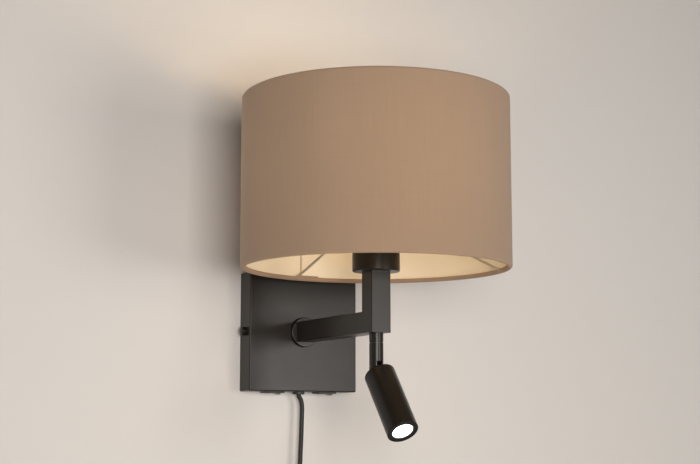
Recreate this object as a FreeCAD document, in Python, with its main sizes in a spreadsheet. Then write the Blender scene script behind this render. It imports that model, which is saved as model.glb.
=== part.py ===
import FreeCAD, Part
import math
import os

import Sketcher

# Wall lamp with a drum shade, a swivelling reading light and a plug-in cord, in millimetres.
# X is to the right, Y runs into the wall, Z is up. The wall is the plane Y = 0, and the
# origin is on it, midway between the two wall screws and level with the arm's centre line.

Vector = FreeCAD.Vector

# A sketch's numbers for a line's start, its end and a circle's centre, and for its origin
START, END, CENTRE = 1, 2, 3
ORIGIN = (-1, START)

# Driving sizes

SIZES = [
    # wall cover: a shallow square steel box, open at the back
    ("cover_side", 119),
    ("cover_depth", 24),
    ("cover_wall", 1.2),
    ("cover_round", 1.3),
    # bracket inside the cover, and the screws at the cover's sides
    ("bracket_tall", 92),
    ("bracket_thick", 1.5),
    ("bracket_gap", 0.3),
    ("bracket_corner", 4),
    ("flange_tall", 30),
    ("flange_past_screw", 5),
    ("wall_hole_spacing", 60),
    ("wall_hole_across", 5),
    ("cable_hole_across", 16),
    ("screw_across", 4),
    ("screw_long", 8),
    ("screw_head_across", 8.6),
    ("screw_head_tall", 3.4),
    ("screw_head_round", 1.4),
    ("screw_point", 0.6),
    ("screw_slot_wide", 1),
    ("screw_slot_deep", 1.2),
    # fits
    ("thread_gap", 0.05),
    ("running_gap", 0.05),
    ("slip_gap", 0.1),
    ("play", 0.2),
    ("seat_gap", 0.3),
    ("overrun", 1),
    # arm and post: one size of square steel tube
    ("tube_side", 20),
    ("tube_wall", 1.5),
    ("tube_round", 1.2),
    ("reach", 176),
    ("post_top", 46.2),
    ("plug_deep", 8),
    ("post_plug_thick", 4),
    ("wire_hole_across", 8),
    ("nipple_across", 10),
    ("nipple_bore", 7),
    ("nipple_spare", 2),
    ("nut_flats", 14),
    ("nut_thick", 3.5),
    ("washer_across", 18),
    ("washer_thick", 1),
    ("rosette_across", 30),
    ("rosette_thick", 4),
    ("rosette_bevel", 0.8),
    # lampholder for a lamp with a 27 mm screw cap
    ("cup_tall", 47.3),
    ("cup_wall", 1),
    ("cup_round", 1.5),
    ("cup_gap", 1),
    ("holder_wall", 5.1),
    ("holder_ledge", 2.3),
    ("holder_bore_deep", 47),
    ("holder_flange", 2.5),
    ("holder_skirt_tall", 11.5),
    ("contact_across", 8),
    ("contact_tall", 2.5),
    ("shell_thick", 0.5),
    ("shell_gap", 0.2),
    ("shell_lift", 5),
    ("shell_tall", 26),
    ("clamp_wall", 5.25),
    ("clamp_tall", 6),
    ("clamp_bevel", 0.8),
    ("clamp_notch", 3),
    ("clamp_notch_deep", 1.2),
    # lamp bulb
    ("cap_across", 26.2),
    ("cap_gap", 0.8),
    ("cap_tip_across", 8),
    ("cap_tip_tall", 2),
    ("cap_shoulder", 1.5),
    ("cap_tall", 26),
    ("bulb_neck_tall", 19),
    ("bulb_neck_thick", 0.6),
    ("bulb_across", 60),
    ("bulb_flare_tall", 27),
    ("bulb_band_tall", 3),
    ("globe_wall", 1.2),
    # drum shade
    ("shade_across", 250),
    ("shade_tall", 160),
    ("shade_base", 48.5),
    ("fabric_thick", 1),
    ("liner_thick", 0.6),
    ("hem_tall", 6),
    ("hem_round", 2),
    ("ring_wire", 2.9),
    ("arm_wire", 3),
    ("arm_bend", 8),
    ("arm_flat", 6),
    ("first_arm_angle", 101),
    ("spider_wide", 8.1),
    ("spider_thick", 2),
    # reading light: stem, swivel and fork
    ("stem_across", 13),
    ("stem_tall", 8.5),
    ("stem_bevel", 0.4),
    ("swivel_across", 8),
    ("swivel_bore", 4.4),
    ("swivel_head_across", 10),
    ("swivel_head_tall", 2),
    ("swivel_grip", 9),
    ("swivel_nut_flats", 13),
    ("swivel_nut_thick", 3),
    ("swivel_spare", 1),
    ("joint_washer_across", 12),
    ("joint_washer_thick", 0.6),
    ("fork_drop", 21),
    ("slot_wide", 5.2),
    ("lug_thick", 5),
    ("lug_radius", 4.2),
    ("pivot_across", 3),
    # reading light: head
    ("tilt_angle", 39),
    ("tail_gap", 9.5),
    ("head_across", 28.6),
    ("head_wall", 1.6),
    ("head_long", 67),
    ("head_bevel", 0.5),
    ("tail_bevel", 1),
    ("tail_rim", 3),
    ("tail_spigot", 4),
    ("sink_gap", 14),
    ("sink_core_across", 16),
    ("fin_pitch", 5),
    ("fin_gap", 2.6),
    ("board_thick", 1.5),
    ("optic_long", 9),
    ("optic_small_across", 10),
    ("optic_gap", 0.5),
    ("lens_gap", 5.9),
    ("lens_thick", 2.4),
    ("lens_face_deep", 0.8),
    ("bezel_long", 4.2),
    ("bezel_wall", 1.1),
    ("bezel_lip", 2),
    ("bezel_sunk", 0.4),
    # rocker switches in the underside of the cover
    ("switch_offset", 29),
    ("switch_lip", 1.6),
    ("switch_rim", 1.1),
    ("switch_side_wall", 1.4),
    ("switch_end_wall", 1),
    ("switch_body_tall", 14),
    ("cutout_gap", 0.1),
    ("switch_well_gap", 1),
    ("switch_well_deep", 6),
    ("blade_wide", 4.8),
    ("blade_thick", 0.8),
    ("blade_tall", 6),
    ("blade_spacing", 11),
    ("rocker_angle", 8),
    ("rocker_long", 14.8),
    ("rocker_wide", 9.4),
    ("rocker_deep", 3.2),
    ("rocker_cheek", 1.5),
    ("rocker_keel", 3),
    ("rocker_lift", 2),
    ("trunnion_across", 2),
    ("trunnion_long", 0.6),
    # cord outlet, terminal block and driver
    ("cord_across", 4.6),
    ("gland_across", 12),
    ("gland_tall", 2.5),
    ("gland_round", 0.8),
    ("gland_barrel_across", 8),
    ("gland_barrel_tall", 8),
    ("gland_nut_flats", 12),
    ("gland_nut_thick", 3),
    ("lead_long", 14),
    ("block_long", 22),
    ("block_past_cord", 3.5),
    ("block_tall", 16),
    ("block_hole", 3.2),
    ("block_hole_deep", 9),
    ("block_pole_spacing", 8),
    ("block_screw_across", 4),
    ("block_screw_tall", 0.8),
    ("driver_long", 46),
    ("driver_deep", 16),
    ("driver_tall", 22),
    ("driver_lift", 20),
    ("driver_round", 2),
    # put-away coil, its tie, and the plug
    ("coil_radius", 31.4),
    ("coil_gap", 0.5),
    ("tie_wide", 5),
    ("tie_thick", 1.2),
    ("tie_lock_long", 6),
    ("tie_lock_thick", 4),
    ("plug_across", 35.3),
    ("plug_thick", 13.7),
    ("plug_tall", 36),
    ("plug_neck_across", 8.4),
    ("plug_neck_tall", 10),
    ("plug_shoulder_tall", 22),
    ("plug_round", 3),
    ("pin_across", 4),
    ("pin_long", 19),
    ("pin_spacing", 18),
    ("pin_bevel", 0.8),
]

# Counts, and the samples on each arc when a tube's gap to itself is measured
COIL_LAYER_COUNT = 4
LAYER_TURN_COUNT = 2
QUARTER_COUNT = 4
ARC_SAMPLE_COUNT = 17
SPIDER_ARM_COUNT = 3
CLAMP_NOTCH_COUNT = 12
SINK_GROOVE_COUNT = 5

# Shares: how much of a route's shorter run an arc takes at a corner, how far the nipple goes
# up the holder's floor, how much of a turn the coil climbs in, how far round from the line
# between two layers its tie sits, and the step in turns that a heading is taken over
ARC_SHARE = 0.45
FLOOR_NIPPLE_SHARE = 0.5
CLIMB_TURNS_SHARE = 0.5
TIE_TURNS_SHARE = 0.25
COIL_STEP_SHARE = 0.0001

# Route of the hanging cord from the outlet's face, chosen by hand: across, out and up
DROP_ROUTE = [
    (0, 0, 0),
    (0, 0, -7),
    (2.2, -0.2, -16),
    (3.7, -0.5, -29),
    (3.3, -0.7, -43),
    (2.4, -0.6, -58),
    (1.6, -0.2, -73),
    (-4.6, 1.4, -87),
    (-22.4, 4.8, -103),
    (-30, 7.6, -118),
    (-30, 7.6, -132),
]

# Route of the short end between the coil and the plug, from the coil's end
TAIL_ROUTE = [
    (0, 0, 0),
    (0, 0, -6.5),
    (-0.6, 1.2, -14),
    (-0.6, 1.2, -21),
]

doc = FreeCAD.newDocument("wall_lamp")
sheet = doc.addObject("Spreadsheet::Sheet", "size")
for row, (alias, value) in enumerate(SIZES, start=1):
    sheet.set("A%d" % row, alias)
    sheet.set("B%d" % row, str(value))
    sheet.setAlias("B%d" % row, alias)
doc.recompute()

# Places worked out from the driving sizes, as expressions over the sheet

COVER_HALF = "(size.cover_side / 2)"
COVER_INSIDE = "(size.cover_side / 2 - size.cover_wall)"
BRACKET_HALF = "(size.cover_side / 2 - size.cover_wall - size.bracket_gap)"
MID_DEPTH = "(size.cover_depth / 2)"
TUBE_HALF = "(size.tube_side / 2)"
TUBE_INSIDE = "(size.tube_side / 2 - size.tube_wall)"
PLUG_HALF = "(size.tube_side / 2 - size.tube_wall - size.slip_gap)"
NIPPLE_HOLE = "(size.nipple_across / 2 + size.thread_gap)"
ARM_START = "(size.cover_depth + size.rosette_thick)"
HOLDER_TOP = "(size.cup_tall + size.holder_flange)"
SHELL_HALF = "(size.cap_across / 2 + size.cap_gap)"
HOLDER_BORE = "(%s + size.shell_thick + size.shell_gap)" % SHELL_HALF
SKIRT_HALF = "(%s + size.holder_wall)" % HOLDER_BORE
CUP_HALF = "(%s + size.holder_ledge)" % SKIRT_HALF
CUP_INSIDE = "(%s - size.cup_wall)" % CUP_HALF
SPIDER_HOLE = "(%s + size.play)" % SKIRT_HALF
SPIDER_EDGE = "(%s + size.spider_wide)" % SPIDER_HOLE
CLAMP_INSIDE = "(%s + size.running_gap)" % SKIRT_HALF
CLAMP_EDGE = "(%s + size.clamp_wall)" % CLAMP_INSIDE
SPIDER_LIFT = "(size.post_top + %s - size.shade_base)" % HOLDER_TOP
CLAMP_SEAT = "(%s + size.spider_thick)" % HOLDER_TOP
SKIRT_TOP = "(%s + size.holder_skirt_tall)" % HOLDER_TOP
FLOOR_TOP = "(%s - size.holder_bore_deep)" % SKIRT_TOP
BULB_SEAT = "(%s + size.contact_tall)" % FLOOR_TOP
BULB_NECK = "(%s + size.cap_tall)" % BULB_SEAT
BULB_FLARE = "(%s + size.bulb_neck_tall)" % BULB_NECK
BULB_BAND = "(%s + size.bulb_flare_tall)" % BULB_FLARE
BULB_MIDDLE = "(%s + size.bulb_band_tall)" % BULB_BAND
SHADE_HALF = "(size.shade_across / 2)"
HEM_WIDE = "(size.ring_wire + (size.fabric_thick + size.running_gap) * 2)"
HEM_INSIDE = "(%s - %s)" % (SHADE_HALF, HEM_WIDE)
WIRE_HALF = "(%s - %s / 2)" % (SHADE_HALF, HEM_WIDE)
WIRE_LIFT = "(size.fabric_thick + size.ring_wire / 2 + size.running_gap)"
STEM_TOP = "(-size.tube_side / 2)"
STEM_BASE = "(-size.tube_side / 2 - size.stem_tall)"
FORK_TOP = "(%s - size.joint_washer_thick)" % STEM_BASE
PIVOT_LIFT = "(%s - size.fork_drop)" % FORK_TOP
SLOT_TOP = "(size.lug_radius + size.seat_gap)"
FORK_SHELF = "(size.fork_drop - size.swivel_grip)"
HEAD_HALF = "(size.head_across / 2)"
HEAD_INSIDE = "(size.head_across / 2 - size.head_wall)"
SPIGOT_HALF = "(size.head_across / 2 - size.head_wall - size.running_gap)"
HEAD_FRONT = "(-size.tail_gap - size.head_long)"
TUBE_BACK = "(-size.tail_gap - size.tail_rim)"
SINK_BACK = "(%s - size.tail_spigot - size.sink_gap)" % TUBE_BACK
BEZEL_FRONT = "(%s + size.bezel_sunk)" % HEAD_FRONT
LENS_SEAT = "(%s + size.lens_face_deep)" % BEZEL_FRONT
LENS_BACK = "(%s + size.lens_thick)" % LENS_SEAT
LENS_HALF = "(%s - size.bezel_wall - size.running_gap)" % SPIGOT_HALF
LENS_CLEAR = "(%s - size.bezel_lip)" % LENS_HALF
OPTIC_FRONT = "(%s + size.lens_gap)" % LENS_BACK
BOARD_FRONT = "(%s + size.optic_long)" % OPTIC_FRONT
SINK_FRONT = "(%s + size.board_thick)" % BOARD_FRONT
ROCKER_HALF = "(size.rocker_long / 2)"
WELL_HALF_LONG = "(%s + size.switch_well_gap)" % ROCKER_HALF
WELL_HALF_WIDE = "(size.rocker_wide / 2 + size.play)"
SWITCH_HALF_LONG = "(%s + size.switch_end_wall)" % WELL_HALF_LONG
SWITCH_HALF_WIDE = "(%s + size.switch_side_wall)" % WELL_HALF_WIDE
UNDERSIDE = "(-size.cover_side / 2)"
OUTLET_FACE = "(-size.cover_side / 2 - size.gland_tall)"
BLOCK_BASE = "(%s + size.lead_long)" % OUTLET_FACE
COIL_PITCH = "(size.cord_across + size.coil_gap)"


def number(text):
    """Value of an expression over the sheet."""
    return float(sheet.evalExpression(text))


def cell(alias):
    """Value of one driving size."""
    return float(sheet.get(alias))


# Helpers that draw, build and place

def new_body(label, x="0", y="0", z="0", axis=None, turn=None):
    """Empty body with its own label, placed by expressions, and turned about one axis."""
    body = doc.addObject("PartDesign::Body", label)
    body.Label = label
    if axis:
        body.Placement = FreeCAD.Placement(Vector(), FreeCAD.Rotation(axis, number(turn)))
    for name, text in (("x", x), ("y", y), ("z", z)):
        body.setExpression("Placement.Base." + name, text)
    if axis:
        body.setExpression("Placement.Rotation.Angle", turn)
    return body


def sketch_on(body, name, role, lift="0"):
    """Sketch on one of the body's own planes, moved along the plane's normal."""
    sketch = body.newObject("Sketcher::SketchObject", name)
    plane = [f for f in body.Origin.OriginFeatures if f.Role == role][0]
    sketch.AttachmentSupport = [(plane, "")]
    sketch.MapMode = "FlatFace"
    sketch.setExpression("AttachmentOffset.Base.z", lift)
    return sketch


def arc_between(start, end, radius, left):
    """Arc of less than a half circle with its centre on the left or right of the way."""
    middle = (start + end) * 0.5
    way = end - start
    half = way.Length / 2
    rise = math.sqrt(max(radius * radius - half * half, 0))
    side = Vector(-way.y, way.x, 0).normalize()
    centre = middle + side * (rise if left else -rise)
    first, last = (start, end) if left else (end, start)
    angles = [math.atan2(p.y - centre.y, p.x - centre.x) for p in (first, last)]
    return Part.ArcOfCircle(Part.Circle(centre, Vector(0, 0, 1), radius), *angles)


def bind(sketch, text, *what):
    """Constraint whose value follows an expression over the sheet."""
    index = sketch.addConstraint(Sketcher.Constraint(*what))
    sketch.setExpression("Constraints[%d]" % index, text)


def draw_outline(sketch, corners):
    """Closed outline bound to the sheet. A corner is (across, up), and one that ends an arc
    is (across, up, radius, left): the arc's centre is on the left of the way, or not."""
    points = [Vector(number(across), number(up), 0) for across, up, *arc in corners]
    lines = []
    for i, (across, up, *arc) in enumerate(corners):
        shape, first, last = Part.LineSegment(points[i - 1], points[i]), START, END
        if arc:
            radius, left = arc
            shape = arc_between(points[i - 1], points[i], number(radius), left)
            first, last = (START, END) if left else (END, START)
        lines.append((sketch.addGeometry(shape, False), first, last))
    for i, (across, up, *arc) in enumerate(corners):
        line, first, last = lines[i]
        before, _, before_last = lines[i - 1]
        joined = Sketcher.Constraint("Coincident", before, before_last, line, first)
        sketch.addConstraint(joined)
        bind(sketch, across, "DistanceX", *ORIGIN, line, last, points[i].x)
        bind(sketch, up, "DistanceY", *ORIGIN, line, last, points[i].y)
        if arc:
            radius, left = arc
            bind(sketch, radius, "Radius", line, number(radius))


def draw_box(sketch, left, right, low, high):
    """Rectangle between bound sides."""
    draw_outline(sketch, [(left, low), (right, low), (right, high), (left, high)])


def draw_square(sketch, half):
    """Square about the sketch's origin."""
    draw_box(sketch, "-" + half, half, "-" + half, half)


def draw_circle(sketch, across, up, radius):
    """Circle with its centre and radius bound."""
    centre = Vector(number(across), number(up), 0)
    circle = Part.Circle(centre, Vector(0, 0, 1), number(radius))
    ring = sketch.addGeometry(circle, False)
    bind(sketch, across, "DistanceX", *ORIGIN, ring, CENTRE, centre.x)
    bind(sketch, up, "DistanceY", *ORIGIN, ring, CENTRE, centre.y)
    bind(sketch, radius, "Radius", ring, number(radius))


def draw_hexagon(sketch, flats):
    """Hexagon about the origin, from its width across flats."""
    corner = "(%s / 2 / cos(30))" % flats
    draw_outline(
        sketch,
        [("%s * cos(%d)" % (corner, a), "%s * sin(%d)" % (corner, a)) for a in range(0, 360, 60)],
    )


def pad(body, name, sketch, length, both=False, back=False):
    """Pad of a sketch, along its normal, both ways, or backwards."""
    feature = body.newObject("PartDesign::Pad", name)
    feature.Profile = (sketch, [""])
    feature.setExpression("Length", length)
    feature.Reversed = back
    if both:
        feature.SideType = "Symmetric"
    doc.recompute()
    return feature


def pocket(body, name, sketch, length, both=False, forward=False):
    """Pocket of a sketch, which has to take something away."""
    before = body.Shape.Volume
    feature = body.newObject("PartDesign::Pocket", name)
    feature.Profile = (sketch, [""])
    feature.setExpression("Length", length)
    feature.Reversed = forward
    if both:
        feature.SideType = "Symmetric"
    doc.recompute()
    if not body.Shape.Volume < before:
        raise RuntimeError(name + " cuts nothing")
    return feature


def fillet(body, name, radius, wanted):
    """Fillet on the edges of the last feature that a test picks."""
    base = body.Tip
    picked = ["Edge%d" % (i + 1) for i, e in enumerate(base.Shape.Edges) if wanted(e)]
    if not picked:
        raise RuntimeError(name + " finds no edge")
    feature = body.newObject("PartDesign::Fillet", name)
    feature.Base = (base, picked)
    feature.setExpression("Radius", radius)
    doc.recompute()
    return feature


def turned(label, corners, role="XZ_Plane", axis="V_Axis", axis_turn=None, **place):
    """Body turned from a bound profile, and placed."""
    if axis_turn:
        place["axis"], place["turn"] = axis_turn
    body = new_body(label, **place)
    sketch = sketch_on(body, label + "_profile", role)
    draw_outline(sketch, corners)
    spin = body.newObject("PartDesign::Revolution", label + "_turn")
    spin.Profile = (sketch, [""])
    spin.ReferenceAxis = (sketch, [axis])
    spin.Angle = 360
    doc.recompute()
    return body


def repeat_round(body, name, features, count):
    """Polar pattern about the body's own vertical axis."""
    pattern = body.newObject("PartDesign::PolarPattern", name)
    pattern.Originals = features
    axis = [f for f in body.Origin.OriginFeatures if f.Role == "Z_Axis"][0]
    pattern.Axis = (axis, [""])
    pattern.Angle = 360
    pattern.Occurrences = count
    body.Tip = pattern
    doc.recompute()
    return pattern


def near(a, b):
    """Whether two lengths are the same to within a hair."""
    return abs(a - b) < cell("thread_gap") / 10


def runs_along(edge, name):
    """Whether an edge is straight along the named axis."""
    box = edge.BoundBox
    spans = {"x": box.XLength, "y": box.YLength, "z": box.ZLength}
    return spans.pop(name) > max(spans.values()) + cell("thread_gap") and near(
        max(spans.values()), 0
    )


def grouped(label, members):
    """Several solids that share one node."""
    group = doc.addObject("Part::Compound", label)
    group.Label = label
    group.Links = members
    doc.recompute()
    return group


def drawn(label, shape, place=Vector()):
    """Piece whose shape is made here from the sheet's sizes, and then placed."""
    piece = doc.addObject("Part::Feature", label)
    piece.Label = label
    piece.Shape = shape
    piece.Placement = FreeCAD.Placement(place, FreeCAD.Rotation())
    return piece


def cross_section(start, heading, radius):
    """Circular wire square to a heading."""
    return Part.Wire(Part.Circle(start, heading, radius).toShape())


def tube_along(edges, radius):
    """Solid round tube along tangent edges."""
    path = Part.Wire(edges)
    first = edges[0]
    heading = first.tangentAt(first.FirstParameter)
    shell = Part.BRepOffsetAPI.MakePipeShell(path)
    shell.add(cross_section(first.valueAt(first.FirstParameter), heading, radius))
    shell.build()
    shell.makeSolid()
    return shell.shape()


# Wall bracket and cover

def make_wall_bracket():
    """Folded strip: a plate on the wall, and a flange at each side for the cover's screws."""
    body = new_body("wall_bracket")
    plate = sketch_on(body, "bracket_plate_outline", "XZ_Plane")
    half_tall = "(size.bracket_tall / 2)"
    draw_box(plate, "-" + BRACKET_HALF, BRACKET_HALF, "-" + half_tall, half_tall)
    pad(body, "bracket_plate", plate, "size.bracket_thick")
    fillet(body, "bracket_corners", "size.bracket_corner", lambda e: runs_along(e, "y"))
    flanges = sketch_on(body, "bracket_flange_outline", "XZ_Plane")
    inner = "(%s - size.bracket_thick)" % BRACKET_HALF
    flange_half = "(size.flange_tall / 2)"
    draw_box(flanges, inner, BRACKET_HALF, "-" + flange_half, flange_half)
    draw_box(flanges, "-" + BRACKET_HALF, "-" + inner, "-" + flange_half, flange_half)
    reach_text = MID_DEPTH + " + size.flange_past_screw"
    pad(body, "bracket_flanges", flanges, reach_text)
    reach = -number(reach_text)
    fillet(
        body,
        "flange_corners",
        "size.bracket_corner",
        lambda e: runs_along(e, "x") and near(e.BoundBox.YMin, reach),
    )
    holes = sketch_on(body, "bracket_holes_outline", "XZ_Plane")
    for side in ("-", ""):
        draw_circle(holes, side + "size.wall_hole_spacing / 2", "0", "size.wall_hole_across / 2")
    draw_circle(holes, "0", "0", "size.cable_hole_across / 2")
    pocket(body, "bracket_holes", holes, "size.bracket_thick * 2 + size.overrun", both=True)
    taps = sketch_on(body, "flange_taps_outline", "YZ_Plane")
    draw_circle(taps, "-" + MID_DEPTH, "0", "size.screw_across / 2 + size.thread_gap")
    pocket(body, "flange_taps", taps, "size.cover_side", both=True)
    return body


def make_wall_cover():
    """Square box, open at the back, with holes for the arm, outlet, switches and screws."""
    body = new_body("wall_cover")
    outline = sketch_on(body, "cover_outline", "XZ_Plane")
    draw_square(outline, COVER_HALF)
    pad(body, "cover_block", outline, "size.cover_depth")
    fillet(
        body,
        "cover_edges",
        "size.cover_round",
        lambda e: runs_along(e, "y") or near(e.BoundBox.YMax, -cell("cover_depth")),
    )
    hollow = sketch_on(body, "cover_hollow_outline", "XZ_Plane")
    draw_square(hollow, COVER_INSIDE)
    depth = "size.cover_depth - size.cover_wall"
    pocket(body, "cover_hollow", hollow, depth, forward=True)
    arm_hole = sketch_on(body, "cover_arm_hole_outline", "XZ_Plane", "size.cover_depth")
    draw_circle(arm_hole, "0", "0", NIPPLE_HOLE)
    through = "(size.cover_wall * 2 + size.overrun)"
    pocket(body, "cover_arm_hole", arm_hole, through, both=True)
    under = sketch_on(body, "cover_cutouts_outline", "XY_Plane", UNDERSIDE)
    half_long = "(%s + size.cutout_gap)" % SWITCH_HALF_LONG
    half_wide = "(%s + size.cutout_gap)" % SWITCH_HALF_WIDE
    for side in ("-", ""):
        middle = side + "size.switch_offset"
        draw_box(
            under,
            "%s - %s" % (middle, half_long),
            "%s + %s" % (middle, half_long),
            "-%s - %s" % (MID_DEPTH, half_wide),
            "-%s + %s" % (MID_DEPTH, half_wide),
        )
    barrel_hole = "size.gland_barrel_across / 2 + size.slip_gap"
    draw_circle(under, "0", "-" + MID_DEPTH, barrel_hole)
    pocket(body, "cover_cutouts", under, through, both=True)
    sides = sketch_on(body, "cover_screw_holes_outline", "YZ_Plane")
    draw_circle(sides, "-" + MID_DEPTH, "0", "size.screw_across / 2 + size.slip_gap")
    pocket(body, "cover_screw_holes", sides, "size.cover_side + size.overrun", both=True)
    return body


def make_cover_screws():
    """Two pan-headed screws, one in each side of the cover."""
    shank = "size.screw_across / 2"
    head = "size.screw_head_across / 2"
    top = "size.screw_head_tall"
    profile = [
        ("-size.screw_long", "0"),
        ("-size.screw_long", shank + " - size.screw_point"),
        ("-size.screw_long + size.screw_point", shank),
        ("0", shank),
        ("0", head),
        (top + " - size.screw_head_round", head),
        (top, head + " - size.screw_head_round", "size.screw_head_round", False),
        (top, "0"),
    ]
    screws = []
    for label, side, turn in (("left", "-", "180"), ("right", "", "0")):
        screw = turned(
            "cover_screw_" + label,
            profile,
            role="XY_Plane",
            axis="H_Axis",
            x=side + COVER_HALF,
            y="-" + MID_DEPTH,
            axis_turn=(Vector(0, 0, 1), turn),
        )
        slot = sketch_on(screw, "slot_outline_" + label, "YZ_Plane", top)
        half = "size.screw_slot_wide / 2"
        draw_box(slot, "-" + half, half, "-" + head, head)
        pocket(screw, "slot_" + label, slot, "size.screw_slot_deep")
        screws.append(screw)
    return grouped("cover_screws", screws)


# Arm, rosette and post

def make_arm_rosette():
    """Bevelled disc between the cover and the arm."""
    back = "-size.cover_depth"
    front = "-" + ARM_START
    rim = "size.rosette_across / 2"
    return turned(
        "arm_rosette",
        [
            (NIPPLE_HOLE, back),
            (rim, back),
            (rim, front + " + size.rosette_bevel"),
            (rim + " - size.rosette_bevel", front),
            (NIPPLE_HOLE, front),
        ],
        role="XY_Plane",
    )


def square_tube(label, role, lift, length, **place):
    """Square tube with rounded outer corners."""
    body = new_body(label, **place)
    section = sketch_on(body, label + "_section", role, lift)
    draw_square(section, TUBE_HALF)
    pad(body, label + "_bar", section, length)
    along = {"XZ_Plane": "y", "XY_Plane": "z"}[role]
    fillet(body, label + "_corners", "size.tube_round", lambda e: runs_along(e, along))
    bore = sketch_on(body, label + "_bore_outline", role, lift)
    draw_square(bore, TUBE_INSIDE)
    pocket(body, label + "_bore", bore, length, forward=True)
    return body


def tube_plug(label, role, lift, length, bore, **place):
    """Square plug with a tapped bore, welded into a tube's end."""
    body = new_body(label, **place)
    section = sketch_on(body, label + "_section", role, lift)
    draw_square(section, PLUG_HALF)
    draw_circle(section, "0", "0", bore)
    pad(body, label + "_block", section, length)
    return body


def make_arm():
    """Arm tube from the rosette to the post, its end plug, and the nipple, washer and nut."""
    arm_long = "(size.reach - size.tube_side / 2 - %s)" % ARM_START
    pieces = [square_tube("arm_tube", "XZ_Plane", ARM_START, arm_long)]
    pieces.append(tube_plug("arm_end_plug", "XZ_Plane", ARM_START, "size.plug_deep", NIPPLE_HOLE))
    wall_inside = "(size.cover_depth - size.cover_wall)"
    nut_front = "(%s - size.washer_thick)" % wall_inside
    nut_back = "(%s - size.nut_thick)" % nut_front
    nipple = new_body("arm_nipple")
    start = "(%s - size.nipple_spare)" % nut_back
    ring = sketch_on(nipple, "arm_nipple_section", "XZ_Plane", start)
    draw_circle(ring, "0", "0", "size.nipple_across / 2")
    draw_circle(ring, "0", "0", "size.nipple_bore / 2")
    pad(nipple, "arm_nipple_tube", ring, "%s + size.plug_deep - %s" % (ARM_START, start))
    washer = new_body("arm_washer")
    disc = sketch_on(washer, "arm_washer_section", "XZ_Plane", nut_front)
    draw_circle(disc, "0", "0", "size.washer_across / 2")
    draw_circle(disc, "0", "0", NIPPLE_HOLE)
    pad(washer, "arm_washer_disc", disc, "size.washer_thick")
    nut = new_body("arm_nut")
    hexagon = sketch_on(nut, "arm_nut_section", "XZ_Plane", nut_back)
    draw_hexagon(hexagon, "size.nut_flats")
    draw_circle(hexagon, "0", "0", NIPPLE_HOLE)
    pad(nut, "arm_nut_block", hexagon, "size.nut_thick")
    return pieces + [nipple, washer, nut]


def make_post():
    """Upright tube at the arm's end, with a tapped plug at its foot and its head."""
    post_long = "(size.post_top + size.tube_side / 2)"
    post = square_tube("post_tube", "XY_Plane", "-" + TUBE_HALF, post_long, y="-size.reach")
    wires = sketch_on(post, "post_wire_hole_outline", "XZ_Plane", "-" + TUBE_HALF)
    draw_circle(wires, "0", "0", "size.wire_hole_across / 2")
    pocket(post, "post_wire_hole", wires, "size.tube_wall * 2 + size.overrun", both=True)
    thick = "size.post_plug_thick"
    swivel_hole = "size.swivel_across / 2 + size.thread_gap"
    foot = tube_plug(
        "post_foot_plug", "XY_Plane", "-" + TUBE_HALF, thick, swivel_hole, y="-size.reach"
    )
    head_lift = "size.post_top - size.post_plug_thick"
    head = tube_plug(
        "post_head_plug", "XY_Plane", head_lift, thick, NIPPLE_HOLE, y="-size.reach"
    )
    return [post, foot, head]


# Lampholder and bulb, drawn from the top of the post upwards

ON_POST = {"y": "-size.reach", "z": "size.post_top"}


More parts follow.
